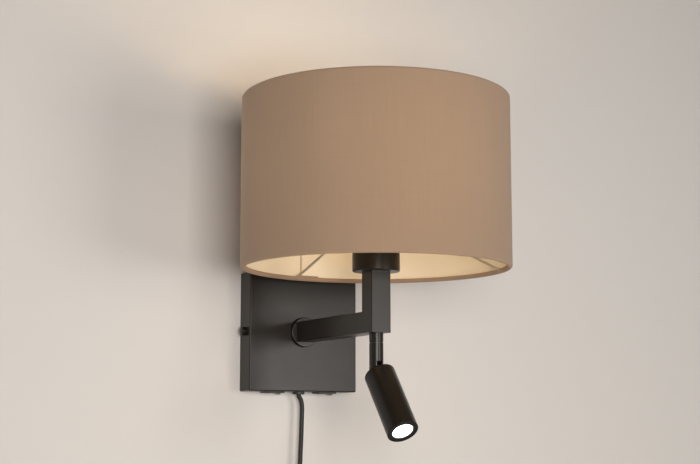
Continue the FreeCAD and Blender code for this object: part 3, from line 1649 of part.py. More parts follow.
def make_cord():
    """Hanging stretch, coil with its tie, short end and plug."""
    outlet = Vector(0, -number(MID_DEPTH), number(OUTLET_FACE))
    drop_points = on_route(outlet, DROP_ROUTE)
    drop_edges = rounded_path(drop_points)
    drop = tube_along(drop_edges, cell("cord_across") / 2)
    check_tube("drop", drop, drop_edges)
    coil, middle, coil_end = make_coil(drop_points[-1])
    tail_points = on_route(coil_end, TAIL_ROUTE)
    tail_edges = rounded_path(tail_points)
    tail = tube_along(tail_edges, cell("cord_across") / 2)
    check_tube("tail", tail, tail_edges)
    print("coil middle", tuple(round(v, 3) for v in middle))
    print("coil end", tuple(round(v, 3) for v in coil_end))
    pieces = [drawn("cord_drop", drop), coil, drawn("cord_tail", tail), make_tie(middle)]
    return pieces + make_plug(tail_points[-1])


def make_all():
    """Every sub-part, in the order of assembly from the wall outwards."""
    parts = [make_wall_bracket(), make_wall_cover(), make_cover_screws(), make_arm_rosette()]
    parts += make_arm()
    parts += make_post()
    parts += make_lampholder()
    parts += make_bulb()
    parts += make_shade()
    parts += make_spot_stem()
    parts += [make_swivel_fork(), make_pivot_pin()]
    parts += [make_tail_cap(), make_spot_tube(), make_heat_sink()]
    parts += make_spot_optics()
    for label, side in (("left", "-"), ("right", "")):
        parts += make_switch(label, side)
    parts += make_outlet()
    parts += make_terminal_block()
    parts.append(make_led_driver())
    parts += make_cord()
    return parts


def check_all(parts):
    """Stops if any object failed, or any sub-part has no sound shape."""
    doc.recompute()
    for item in doc.Objects:
        if "Invalid" in item.State or "Error" in item.State:
            raise RuntimeError("%s failed: %s" % (item.Label, item.State))
    for part in parts:
        if part.Shape.isNull() or not part.Shape.isValid():
            raise RuntimeError(part.Label + " has no sound shape")


def write_all(parts):
    """One file for each sub-part, named by its label."""
    os.makedirs("parts", exist_ok=True)
    for part in parts:
        part.Shape.exportStep("parts/%s.step" % part.Label)
    print("%d sub-parts, %d solids" % (len(parts), sum(len(p.Shape.Solids) for p in parts)))


all_parts = make_all()
check_all(all_parts)
write_all(all_parts)
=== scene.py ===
"""Dresses a wall lamp: a square wall box with an arm and post, a fabric drum shade round a
lit bulb, a jointed reading light, two rocker switches and a mains cord with its plug.

Every length is in metres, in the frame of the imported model: X to the right seen from the
room, Y into the wall, Z up, and the origin on the wall between the two wall screws."""

import logging
import math
from dataclasses import dataclass
from enum import Enum
from typing import Callable, ClassVar, Mapping, Sequence, Union

import bmesh
import bpy
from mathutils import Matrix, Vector


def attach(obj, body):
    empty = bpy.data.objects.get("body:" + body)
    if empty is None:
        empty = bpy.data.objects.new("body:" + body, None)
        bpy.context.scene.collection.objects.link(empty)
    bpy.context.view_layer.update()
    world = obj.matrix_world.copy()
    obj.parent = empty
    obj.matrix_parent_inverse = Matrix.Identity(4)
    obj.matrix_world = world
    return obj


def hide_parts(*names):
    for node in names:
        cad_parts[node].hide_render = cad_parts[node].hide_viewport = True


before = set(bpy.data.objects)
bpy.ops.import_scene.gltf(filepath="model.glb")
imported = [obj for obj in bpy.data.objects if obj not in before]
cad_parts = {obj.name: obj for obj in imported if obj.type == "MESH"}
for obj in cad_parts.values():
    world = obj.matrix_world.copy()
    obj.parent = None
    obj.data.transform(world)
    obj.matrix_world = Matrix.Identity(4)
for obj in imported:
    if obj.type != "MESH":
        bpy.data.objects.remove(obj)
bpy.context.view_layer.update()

log = logging.getLogger("wall_lamp")

Piece = bpy.types.Object
Node = bpy.types.Node
Socket = bpy.types.NodeSocket
Material = bpy.types.Material
Point = tuple[float, float, float]
Colour = tuple[float, float, float]
Corner = Sequence[float]
Feed = Union[float, Sequence[float], Socket]
Test = Callable[..., bool]

SQUARE = math.pi / 2
WHOLE_TURN = math.tau
ORIGIN = (0.0, 0.0, 0.0)

# From the wall to the middle of the post, and the hole that a hollow nipple goes through
REACH = 0.176
NIPPLE_HOLE = 0.00505

MERGE = 1e-6
OVERRUN = 0.001
FACING = 0.9
NEARLY = 0.999
FOLD_STEPS = 5
CURVE_ORDER = 3
CURVE_STEPS = 6

# Rounds and small gaps, from the keenest to the fullest
KEEN = 0.0001
FINE = 0.0002
CRISP = 0.0003
EASED = 0.0004
SOFT = 0.0005
FULL = 0.0008


class Body(Enum):
    """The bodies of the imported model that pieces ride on."""

    LAMP = "lamp"
    SWIVEL = "swivel"
    SPOT = "spot"
    LEFT_ROCKER = "left_rocker"
    RIGHT_ROCKER = "right_rocker"


class Axis(Enum):
    """Turns that bring a piece turned about Z to another axis."""

    UP = ORIGIN
    OUT_OF_WALL = (SQUARE, 0.0, 0.0)
    LEFT = (0.0, -SQUARE, 0.0)
    RIGHT = (0.0, SQUARE, 0.0)


class Part(Enum):
    """What is picked in an open mesh."""

    POINT = "VERT"
    EDGE = "EDGE"
    FACE = "FACE"


class Join(Enum):
    """How other solids go into a piece."""

    CUT = "DIFFERENCE"
    WELD = "UNION"
    TRIM = "INTERSECT"


class Facets(Enum):
    """Faces round a turned piece, from the thinnest pieces to the broadest."""

    THINNEST = 16
    THINNER = 20
    THIN = 24
    SLIM = 32
    NARROW = 48
    PLAIN = 64
    BROAD = 72
    BROADER = 96
    BROADEST = 180


# The modelling bench


def band(inner: float, outer: float, low: float, high: float, *rounds: float) -> list[Corner]:
    """Lists the corners of a straight-sided half section for the lathe.

    Args:
        inner: Its inner radius, 0 for a section on the axis.
        outer: Its outer radius.
        low: Its lower height.
        high: Its upper height.
        rounds: The rounds of the corners inner low, outer low, outer high and inner high.

    Returns:
        The four corners in that order.
    """
    bends = (*rounds, 0.0, 0.0, 0.0, 0.0)
    places = ((inner, low), (outer, low), (outer, high), (inner, high))
    return [(*place, bend) for place, bend in zip(places, bends)]


class Bench:
    """Blender's own modelling tools, each used with everything else let go first."""

    @staticmethod
    def let_go() -> None:
        """Deselects every object."""
        bpy.ops.object.select_all(action="DESELECT")

    @staticmethod
    def take(piece: Piece) -> None:
        """Selects one piece alone and makes it the active one.

        Args:
            piece: The piece to work on.
        """
        Bench.let_go()
        piece.select_set(True)
        bpy.context.view_layer.objects.active = piece

    @staticmethod
    def added(name: str) -> Piece:
        """Names the object that was just added, and its data.

        Args:
            name: Its name.

        Returns:
            The object.
        """
        piece = bpy.context.object
        piece.name = piece.data.name = name
        return piece

    @staticmethod
    def open(piece: Piece, part: Part = Part.FACE) -> None:
        """Opens a piece's mesh for editing with nothing in it selected.

        Args:
            piece: The piece to open.
            part: What the mesh tools select.
        """
        Bench.take(piece)
        bpy.ops.object.mode_set(mode="EDIT")
        bpy.ops.mesh.select_mode(type=part.value)
        bpy.ops.mesh.select_all(action="DESELECT")

    @staticmethod
    def close() -> None:
        """Goes back from the open mesh to the whole piece."""
        bpy.ops.object.mode_set(mode="OBJECT")

    @staticmethod
    def pick(piece: Piece, part: Part, wanted: Test) -> None:
        """Selects the points, edges or faces of the open mesh that pass a test.

        Args:
            piece: The piece whose mesh is open.
            part: What is picked.
            wanted: Test of a point's place, of the places of an edge's two ends, or of a
                face's middle and its normal.
        """
        mesh = bmesh.from_edit_mesh(piece.data)
        if part is Part.POINT:
            facts = [(point, (point.co,)) for point in mesh.verts]
        elif part is Part.EDGE:
            facts = [(edge, [end.co for end in edge.verts]) for edge in mesh.edges]
        else:
            mesh.normal_update()
            facts = [(face, (face.calc_center_median(), face.normal)) for face in mesh.faces]
        for element, known in facts:
            element.select_set(wanted(*known))
        mesh.select_flush_mode()
        bmesh.update_edit_mesh(piece.data)

    @staticmethod
    def block(name: str, low: Point, high: Point) -> Piece:
        """Adds a rectangular block between two corners.

        Args:
            name: Name of the new piece.
            low: Its lowest corner.
            high: Its highest corner.

        Returns:
            The block, at its place.
        """
        Bench.let_go()
        middle = [(a + b) / 2 for a, b in zip(low, high)]
        sides = [b - a for a, b in zip(low, high)]
        bpy.ops.mesh.primitive_cube_add(size=1, location=middle, scale=sides)
        piece = Bench.added(name)
        Bench.settle(piece)
        return piece

    @staticmethod
    def opened(
        name: str, low: Point, high: Point, away: Test, bent: Test, radius: float
    ) -> Piece:
        """Folds thin sheet into a box with open sides and rounded folds.

        Args:
            name: Name of the new piece.
            low: Its lowest corner.
            high: Its highest corner.
            away: Test of the middle and the normal of a side that is left out.
            bent: Test of the two ends of a fold.
            radius: The folds' radius.

        Returns:
            The box, still without thickness.
        """
        piece = Bench.block(name, low, high)
        Bench.open(piece)
        Bench.pick(piece, Part.FACE, away)
        bpy.ops.mesh.delete(type="FACE")
        Bench.close()
        Bench.round_edges(piece, radius, bent, FOLD_STEPS)
        return piece

    @staticmethod
    def outline(name: str, corners: Sequence[Corner], closed: bool, steps: int) -> Piece:
        """Draws an outline in the XZ plane by extruding one point from corner to corner.

        Args:
            name: Name of the new piece.
            corners: Each corner's x and z, and its round where it has one.
            closed: Whether the last corner joins the first.
            steps: Edges in each rounded corner.

        Returns:
            The outline, as a piece whose mesh is left open.
        """
        Bench.let_go()
        bpy.ops.mesh.primitive_plane_add(size=1)
        piece = Bench.added(name)
        Bench.open(piece, Part.POINT)
        bpy.ops.mesh.select_all(action="SELECT")
        bpy.ops.mesh.merge(type="CENTER")
        places = [Vector((corner[0], 0, corner[1])) for corner in corners]
        bpy.ops.transform.translate(value=places[0])
        for here, there in zip(places, places[1:]):
            step = {"value": there - here}
            bpy.ops.mesh.extrude_region_move(TRANSFORM_OT_translate=step)
        if closed:
            ends = (places[0], places[-1])
            Bench.pick(piece, Part.POINT, lambda p: any((p - end).length < MERGE for end in ends))
            bpy.ops.mesh.edge_face_add()
        for corner, place in zip(corners, places):
            if any(corner[2:]):
                Bench.pick(piece, Part.POINT, lambda p: (p - place).length < MERGE)
                bpy.ops.mesh.bevel(offset=corner[2], segments=steps, affect="VERTICES")
        return piece

    @staticmethod
    def turned(
        name: str, corners: Sequence[Corner], around: Facets = Facets.PLAIN, steps: int = 4
    ) -> Piece:
        """Turns a piece about the Z axis, as on a lathe.

        Args:
            name: Name of the new piece.
            corners: The half section: each corner's radius and height, and its round. One
                that doesn't start on the axis closes on itself, as on a ring.
            around: Faces around the piece.
            steps: Faces in each rounded corner.

        Returns:
            The turned piece, about the Z axis.
        """
        piece = Bench.outline(name, corners, corners[0][0] > 0, steps)
        bpy.ops.mesh.select_all(action="SELECT")
        bpy.ops.mesh.spin(steps=around.value, angle=WHOLE_TURN, center=ORIGIN, axis=(0, 0, 1))
        Bench.tidy()
        Bench.close()
        return piece

    @staticmethod
    def slab(name: str, corners: Sequence[Corner], depth: float, steps: int) -> Piece:
        """Cuts a slab to an outline in the XZ plane, evenly to both sides of that plane.

        Args:
            name: Name of the new piece.
            corners: Each corner's x and z, and its round where it has one.
            depth: The slab's whole depth along Y.
            steps: Faces in each rounded corner.

        Returns:
            The slab, across the XZ plane.
        """
        piece = Bench.outline(name, corners, True, steps)
        bpy.ops.mesh.select_all(action="SELECT")
        bpy.ops.mesh.edge_face_add()
        bpy.ops.transform.translate(value=(0, -depth / 2, 0))
        bpy.ops.mesh.extrude_region_move(TRANSFORM_OT_translate={"value": (0, depth, 0)})
        Bench.tidy()
        Bench.close()
        return piece

    @staticmethod
    def curve(name: str, route: Sequence[Point], radius: float, around: int) -> Piece:
        """Draws round wire or cord as one smooth line.

        Args:
            name: Name of the new piece.
            route: Points that the line is drawn towards, and its two ends.
            radius: The wire's radius.
            around: Faces in a quarter of the way round it.

        Returns:
            The wire, as a curve.
        """
        curve = bpy.data.curves.new(name, "CURVE")
        curve.dimensions = "3D"
        line = curve.splines.new("NURBS")
        line.points.add(len(route) - 1)
        for point, place in zip(line.points, route):
            point.co = (*place, 1.0)
        line.order_u = CURVE_ORDER
        line.use_endpoint_u = True
        line.use_smooth = True
        line.resolution_u = CURVE_STEPS
        curve.bevel_depth = radius
        curve.bevel_resolution = around
        curve.use_fill_caps = True
        piece = bpy.data.objects.new(name, curve)
        bpy.context.scene.collection.objects.link(piece)
        return piece

    @staticmethod
    def tidy() -> None:
        """Merges the open mesh's doubled points and turns its faces outwards."""
        bpy.ops.mesh.select_all(action="SELECT")
        bpy.ops.mesh.remove_doubles(threshold=MERGE)
        bpy.ops.mesh.normals_make_consistent(inside=False)

    @staticmethod
    def settle(piece: Piece, at: Point = ORIGIN, turn: Point = ORIGIN) -> None:
        """Moves and turns a piece, then puts its place into its mesh.

        Args:
            piece: The piece to place.
            at: How far it moves from where it is.
            turn: Its turn about X, Y and Z, about the world's origin before the move.
        """
        Bench.take(piece)
        bpy.ops.object.transform_apply(location=True, rotation=True, scale=True)
        piece.location = at
        piece.rotation_euler = turn
        bpy.ops.object.transform_apply(location=True, rotation=True, scale=True)

    @staticmethod
    def placed(
        piece: Piece, at: Point = ORIGIN, turn: Point = ORIGIN, above: float = 32.0
    ) -> Piece:
        """Settles a shaped piece and shades it smooth, apart from its sharp edges.

        Args:
            piece: The piece.
            at: How far it moves.
            turn: Its turn before the move.
            above: The least angle between two faces, in degrees, that stays sharp.

        Returns:
            The same piece.
        """
        Bench.settle(piece, at, turn)
        bpy.ops.object.shade_smooth_by_angle(angle=math.radians(above))
        Bench.finish(piece, "WEIGHTED_NORMAL", keep_sharp=True)
        return piece

    @staticmethod
    def finish(piece: Piece, kind: str, **values: object) -> None:
        """Puts a modifier on a piece and applies it at once.

        Args:
            piece: The piece to change.
            kind: The modifier's type.
            values: The modifier's settings.
        """
        Bench.take(piece)
        change = piece.modifiers.new(kind.lower(), kind)
        for setting, value in values.items():
            setattr(change, setting, value)
        bpy.ops.object.modifier_apply(modifier=change.name)

    @staticmethod
    def combine(piece: Piece, join: Join, *others: Piece) -> None:
        """Cuts other solids out of a piece, welds them to it or trims it to them, and
        clears them away.

        Args:
            piece: The piece that is kept.
            join: How the others go into it.
            others: The other solids.
        """
        for other in others:
            Bench.finish(piece, "BOOLEAN", operation=join.value, solver="EXACT", object=other)
            bpy.data.objects.remove(other, do_unlink=True)

    @staticmethod
    def gather(piece: Piece, *others: Piece) -> None:
        """Makes separate shells one piece.

        Args:
            piece: The piece that the others are joined to.
            others: The pieces that are joined.
        """
        Bench.take(piece)
        for other in others:
            other.select_set(True)
        bpy.ops.object.join()

    @staticmethod
    def copied(piece: Piece, name: str, at: Point = ORIGIN, turn: Point = ORIGIN) -> Piece:
        """Copies a piece with its own mesh and places the copy.

        Args:
            piece: The piece to copy.
            name: Name of the copy.
            at: How far the copy moves.
            turn: The copy's turn about the world's origin before the move.

        Returns:
            The copy.
        """
        Bench.take(piece)
        bpy.ops.object.duplicate(linked=False)
        copy = Bench.added(name)
        Bench.settle(copy, at, turn)
        return copy

    @staticmethod
    def round_edges(piece: Piece, radius: float, wanted: Test, steps: int) -> None:
        """Rounds the edges whose two ends pass a test.

        Args:
            piece: The piece to round.
            radius: The round's radius.
            wanted: Test of the places of an edge's ends.
            steps: Faces across the round.
        """
        Bench.open(piece, Part.EDGE)
        Bench.pick(piece, Part.EDGE, wanted)
        bpy.ops.mesh.bevel(offset=radius, segments=steps, affect="EDGES")
        Bench.close()

    @staticmethod
    def soften(piece: Piece, radius: float, steps: int = 3, above: float = 35.0) -> None:
        """Rounds every edge of a piece that is sharper than an angle in degrees."""
        values = {"width": radius, "segments": steps, "angle_limit": math.radians(above)}
        Bench.finish(piece, "BEVEL", limit_method="ANGLE", harden_normals=False, **values)


# Finishes

NOISE_ROUGHNESS = 0.55


class Graph:
    """A node tree, with short calls that add its nodes and join them."""

    def __init__(self, tree: bpy.types.NodeTree) -> None:
        """Takes a node tree and clears it."""
        self.tree = tree
        self.tree.nodes.clear()

    @staticmethod
    def full(colour: Feed) -> Feed:
        """Returns a plain colour with its fourth value, and a socket as it is."""
        return colour if isinstance(colour, Socket) else (*colour, 1.0)

    def feed(self, target: Socket, value: Feed) -> None:
        """Gives an input a plain value, or joins it to another node.

        Args:
            target: The input.
            value: The value, or the output that feeds it.
        """
        if isinstance(value, Socket):
            self.tree.links.new(value, target)
        else:
            target.default_value = value

    def node(
        self, kind: str, feeds: Union[Mapping[str, Feed], Sequence[Feed]] = (), **settings: object
    ) -> Node:
        """Adds a node.

        Args:
            kind: The node's type.
            feeds: A value or a socket for each named input, or for the first inputs in turn.
            settings: The node's own settings.

        Returns:
            The new node.
        """
        made = self.tree.nodes.new(kind)
        for setting, value in settings.items():
            setattr(made, setting, value)
        pairs = feeds.items() if isinstance(feeds, Mapping) else enumerate(feeds)
        for key, value in pairs:
            self.feed(made.inputs[key], value)
        return made

    def math(self, operation: str, *values: Feed) -> Socket:
        """Returns the result of a Math node's operation on one to three values."""
        return self.node("ShaderNodeMath", values, operation=operation).outputs[0]

    def times(self, first: Feed, second: Feed) -> Socket:
        """Returns the product of two values."""
        return self.math("MULTIPLY", first, second)

    def line(self, value: Feed, slope: Feed, start: Feed) -> Socket:
        """Returns a value times a slope, added to a start."""
        return self.math("MULTIPLY_ADD", value, slope, start)

    def blend(self, share: Feed, first: Feed, second: Feed) -> Socket:
        """Mixes two colours.

        Args:
            share: How much of the second colour there is.
            first: The first colour.
            second: The second colour.

        Returns:
            The mixed colour.
        """
        feeds = {"Factor": share, "A": self.full(first), "B": self.full(second)}
        made = self.node("ShaderNodeMix", feeds, data_type="RGBA")
        return next(out for out in made.outputs if out.enabled and out.type == "RGBA")

    def spread(self, value: Feed, low: float, high: float) -> Socket:
        """Returns a value from 0 to 1 spread over the range from low to high."""
        feeds = {"Value": value, "To Min": low, "To Max": high}
        return self.node("ShaderNodeMapRange", feeds).outputs["Result"]

    def noise(self, place: Feed, fineness: Feed, detail: float = 2.0) -> Socket:
        """Returns soft noise from 0 to 1, with a number of lumps in a metre and finer layers."""
        feeds = {"Vector": place, "Scale": fineness, "Detail": detail, "Roughness": NOISE_ROUGHNESS}
        return self.node("ShaderNodeTexNoise", feeds).outputs[0]

    def place(self) -> Socket:
        """Returns the place on the object."""
        return self.node("ShaderNodeTexCoord").outputs["Object"]

    def vector(self, x: Feed, y: Feed, z: Feed) -> Socket:
        """Returns three values put together."""
        return self.node("ShaderNodeCombineXYZ", (x, y, z)).outputs[0]

    def parts(self, place: Socket) -> bpy.types.NodeOutputs:
        """Returns the X, Y and Z of a place."""
        return self.node("ShaderNodeSeparateXYZ", (place,)).outputs

    def bump(self, height: Socket, distance: float) -> Socket:
        """Returns the normal of a relief of a height from 0 to a distance."""
        feeds = {"Height": height, "Distance": distance, "Strength": 1.0}
        return self.node("ShaderNodeBump", feeds).outputs["Normal"]

    def shader(self, kind: str, feeds: Union[Mapping[str, Feed], Sequence[Feed]] = ()) -> Socket:
        """Returns the shader that a new node gives."""
        return self.node(kind, feeds).outputs[0]

    def mixed(self, share: Feed, first: Socket, second: Socket) -> Socket:
        """Returns a mix of two shaders with a share of the second."""
        return self.shader("ShaderNodeMixShader", (share, first, second))

    def shown(self, *more: str) -> Socket:
        """Tells the rays that show the room from the rays that light it.

        Args:
            more: Outputs of Light Path that are counted in as well.

        Returns:
            1 for camera, glossy and transmission rays, and otherwise 0.
        """
        path = self.node("ShaderNodeLightPath").outputs
        rays = path["Is Camera Ray"]
        for name in ("Is Glossy Ray", "Is Transmission Ray", *more):
            rays = self.math("MAXIMUM", rays, path[name])
        return rays


class Effect(Enum):
    """Surface effects that several finishes share, each a node group built once."""

    PEEL = "fine_peel"
    TURNING = "turning_lines"
    WEAVE = "plain_weave"

    def group(self, *values: str) -> bpy.types.NodeTree:
        """Builds the effect's node group, or gives back the one that was built before.

        Args:
            values: Names of the plain values that it takes as well as the place.

        Returns:
            The group, which gives the relief's height and the colour's tone.
        """
        found = bpy.data.node_groups.get(self.value)
        if found:
            return found
        tree = bpy.data.node_groups.new(self.value, "ShaderNodeTree")
        tree.interface.new_socket("Place", in_out="INPUT", socket_type="NodeSocketVector")
        for name in values:
            tree.interface.new_socket(name, in_out="INPUT", socket_type="NodeSocketFloat")
        for name in ("Height", "Tone"):
            tree.interface.new_socket(name, in_out="OUTPUT", socket_type="NodeSocketFloat")
        graph = Graph(tree)
        takes = graph.node("NodeGroupInput").outputs
        fill = {Effect.PEEL: peel, Effect.TURNING: turning_lines, Effect.WEAVE: weave}[self]
        graph.node("NodeGroupOutput", fill(graph, *(takes[name] for name in ("Place", *values))))
        return tree


# The skin: the lumps of each layer against the finest, and each layer's share
WIDE_LUMPS = 0.23
SLOW_LUMPS = 0.03
WIDE_HEIGHT = 0.6
FINE_TONE = 0.35
SLOW_TONE = 0.65

# The turning lines: how far they are drawn out round a piece, and each layer's share
DRAWN_OUT = 0.02
CLOUD_LUMPS = 0.02
LINE_TONE = 0.5
CLOUD_TONE = 0.5

# The weave: its lumps and streaks in a metre, how a thread dips, and each layer's share; the tops'
# share of the tone paints shade in the gaps between threads
STRAY_LUMPS = 260.0
STREAKS_ACROSS = 900.0
STREAKS_ALONG = 16.0
UPRIGHT_LAYER = 0.0
LEVEL_LAYER = 7.0
DIP = 0.4
BED = 0.6
UPRIGHT_SLUB = 0.6
LEVEL_SLUB = 0.4
SLUB_HEIGHT = 0.8
GAP_SHADE_TONE = 0.3
SLUB_TONE = 0.5
PATCH_LUMPS = 14.0
PATCH_TONE = 0.2


def peel(graph: Graph, place: Socket, fineness: Socket) -> tuple[Socket, Socket]:
    """Builds the fine lumpy skin of a powder coat or a moulding.

    Args:
        graph: The group's tree.
        place: Where the skin is read.
        fineness: Lumps in a metre.

    Returns:
        The height and the tone.
    """
    fine = graph.noise(place, fineness, detail=3.0)
    wide = graph.noise(place, graph.times(fineness, WIDE_LUMPS), detail=1.0)
    slow = graph.noise(place, graph.times(fineness, SLOW_LUMPS))
    tone = graph.line(fine, FINE_TONE, graph.times(slow, SLOW_TONE))
    return graph.line(wide, WIDE_HEIGHT, fine), tone


def turning_lines(graph: Graph, place: Socket, fineness: Socket) -> tuple[Socket, Socket]:
    """Builds the fine lines that a tool leaves round a piece turned about Z.

    Args:
        graph: The group's tree.
        place: Where the lines are read.
        fineness: Lines in a metre.

    Returns:
        The height and the tone.
    """
    parts = graph.parts(place)
    thin = [graph.times(parts[name], DRAWN_OUT) for name in ("X", "Y")]
    lines = graph.noise(graph.vector(*thin, parts["Z"]), fineness)
    cloud = graph.noise(place, graph.times(fineness, CLOUD_LUMPS))
    return lines, graph.line(lines, LINE_TONE, graph.times(cloud, CLOUD_TONE))


def weave(graph: Graph, place: Socket, radius: Socket, thread: Socket) -> tuple[Socket, Socket]:
    """Builds the plain weave of a cloth stretched round a drum: upright and level threads
    that pass over and under each other, each a little thicker in places.

    Args:
        graph: The group's tree.
        place: Where the weave is read, from the drum's axis.
        radius: The drum's radius.
        thread: The distance from thread to thread.

    Returns:
        The height, and the tone, which is lighter on the threads' tops as painted shade in the gaps
        between them.
    """
    parts = graph.parts(place)
    up = parts["Z"]
    along = graph.times(graph.math("ARCTAN2", parts["Y"], parts["X"]), radius)
    spread = graph.vector(along, up, 0.0)
    stray = graph.times(graph.noise(spread, STRAY_LUMPS, detail=1.0), thread)
    waves = []
    for operation, value in (("ADD", along), ("SUBTRACT", up)):
        count = graph.math("DIVIDE", graph.math(operation, value, stray), thread)
        waves.append(graph.math("COSINE", graph.times(count, math.pi)))
    upright, level = [graph.math("ABSOLUTE", wave) for wave in waves]
    over = graph.math("GREATER_THAN", graph.times(*waves), 0.0)
    under = graph.math("SUBTRACT", 1.0, over)
    upright_top = graph.times(upright, graph.line(level, DIP, BED))
    level_top = graph.times(level, graph.line(upright, DIP, BED))
    tops = graph.math("ADD", graph.times(upright_top, over), graph.times(level_top, under))
    thick = []
    for round_drum, upwards, layer in (
        (STREAKS_ACROSS, STREAKS_ALONG, UPRIGHT_LAYER),
        (STREAKS_ALONG, STREAKS_ACROSS, LEVEL_LAYER),
    ):
        places = (graph.times(along, round_drum), graph.times(up, upwards), layer)
        thick.append(graph.noise(graph.vector(*places), 1.0))
    shares = [graph.times(one, much) for one, much in zip(thick, (UPRIGHT_SLUB, LEVEL_SLUB))]
    slub = graph.math("ADD", *shares)
    # Painted shade: the tone is lighter on the threads' tops and darker in the gaps between them
    tone = graph.line(tops, GAP_SHADE_TONE, graph.times(slub, SLUB_TONE))
    patches = graph.noise(spread, PATCH_LUMPS)
    return graph.line(slub, SLUB_HEIGHT, tops), graph.line(patches, PATCH_TONE, tone)


@dataclass(frozen=True)
class Finish:
    """A finish: its colour and gloss, and the fine relief that catches the light."""

    name: str
    colour: Colour
    roughness: float
    metallic: float = 0.0
    specular: float = 0.5
    fineness: float = 900.0
    relief: float = 0.00003
    drift: float = 0.12
    gloss_drift: float = 0.06
    effect: ClassVar[Effect] = Effect.PEEL

    def material(self) -> Material:
        """Returns the finish's material, built the first time that it is asked for."""
        return bpy.data.materials.get(self.name) or self.build()

    def build(self) -> Material:
        """Builds the material: an effect drives colour, gloss and relief.

        Returns:
            The new material.
        """
        made = bpy.data.materials.new(self.name)
        made.use_nodes = True
        graph = Graph(made.node_tree)
        values = self.values()
        group = graph.node("ShaderNodeGroup", node_tree=self.effect.group(*values))
        for name, value in {"Place": self.read_at(graph), **values}.items():
            graph.feed(group.inputs[name], value)
        # The effect's tone is random, apart from the weave's, whose gaps between threads carry
        # painted shade
        tone = group.outputs["Tone"]
        dark = tuple(c * (1 - self.drift) for c in self.colour)
        light = tuple(min(1.0, c * (1 + self.drift)) for c in self.colour)
        matt, glossy = self.roughness + self.gloss_drift, self.roughness - self.gloss_drift
        feeds = {
            "Base Color": graph.blend(tone, dark, light),
            "Roughness": graph.spread(tone, glossy, matt),
            "Metallic": self.metallic,
            "Specular IOR Level": self.specular,
            "Normal": graph.bump(group.outputs["Height"], self.relief),
            **self.extras(graph, tone),
        }
        surface = graph.shader("ShaderNodeBsdfPrincipled", feeds)
        graph.node("ShaderNodeOutputMaterial", {"Surface": surface})
        return made

    def values(self) -> dict[str, float]:
        """Returns the plain values that the finish's effect takes."""
        return {"Fineness": self.fineness}

    def read_at(self, graph: Graph) -> Socket:
        """Returns the place at which the effect is read."""
        return graph.place()

    def extras(self, graph: Graph, tone: Socket) -> dict[str, Feed]:
        """Returns what only some finishes feed to their shader: here nothing more."""
        return {}


@dataclass(frozen=True)
class TurnedMetal(Finish):
    """Bare or plated metal with the lines of the tool that turned it."""

    metallic: float = 1.0
    fineness: float = 5000.0
    relief: float = 0.000004
    effect: ClassVar[Effect] = Effect.TURNING


@dataclass(frozen=True)
class DrumCloth(Finish):
    """Cloth in a plain weave, stretched round the drum, with a painted glow: emission on the cloth
    that stands in for the bulb's light coming through it.
    """

    centre: Point = ORIGIN
    radius: float = 0.1
    thread: float = 0.0004
    sheen: float = 0.25
    sheen_roughness: float = 0.5
    sheen_tint: Colour = (1.0, 1.0, 1.0)
    glow: Colour = (1.0, 1.0, 1.0)
    painted_glow_strength: float = 0.05
    painted_glow_reach: float = 0.09
    painted_glow_least: float = 0.8
    painted_glow_most: float = 1.2
    bulb_height: float = 0.15
    effect: ClassVar[Effect] = Effect.WEAVE

    def values(self) -> dict[str, float]:
        """Returns the drum's radius and the distance from thread to thread."""
        return {"Radius": self.radius, "Thread": self.thread}

    def read_at(self, graph: Graph) -> Socket:
        """Returns the place on the object from the drum's axis."""
        feeds = {"Vector": graph.place(), "Location": [-c for c in self.centre]}
        return graph.node("ShaderNodeMapping", feeds).outputs[0]

    def extras(self, graph: Graph, tone: Socket) -> dict[str, Feed]:
        """Adds the nap's sheen and a painted glow, brightest at the bulb's height, that stands in
        for the bulb's light coming through the cloth.

        Args:
            graph: The material's tree.
            tone: The weave's tone.

        Returns:
            The shader's inputs for them.
        """
        # Painted glow: the emission fades with height away from the bulb and follows the weave's
        # tone
        above = graph.math("SUBTRACT", graph.parts(graph.place())["Z"], self.bulb_height)
        away = graph.math("DIVIDE", above, self.painted_glow_reach)
        near = graph.math("DIVIDE", 1.0, graph.line(away, away, 1.0))
        gaps = graph.spread(tone, self.painted_glow_least, self.painted_glow_most)
        through = graph.times(near, gaps)
        return {
            "Sheen Weight": self.sheen,
            "Sheen Roughness": self.sheen_roughness,
            "Sheen Tint": Graph.full(self.sheen_tint),
            "Emission Color": graph.blend(through, (0.0, 0.0, 0.0), self.glow),
            "Emission Strength": self.painted_glow_strength,
        }


@dataclass(frozen=True)
class Lit(Finish):
    """A surface that gives light."""

    relief: float = 0.000004
    strength: float = 1.0
    glow: Colour = (1.0, 1.0, 1.0)
    unevenness: float = 0.06

    def extras(self, graph: Graph, tone: Socket) -> dict[str, Feed]:
        """Adds the light, a little uneven.

        Args:
            graph: The material's tree.
            tone: The skin's tone.

        Returns:
            The shader's inputs for it.
        """
        dim = tuple(c * (1 - self.unevenness) for c in self.glow)
        light = graph.blend(tone, dim, self.glow)
        return {"Emission Color": light, "Emission Strength": self.strength}


DRUM_CENTRE = (0.0, -REACH, 0.0)

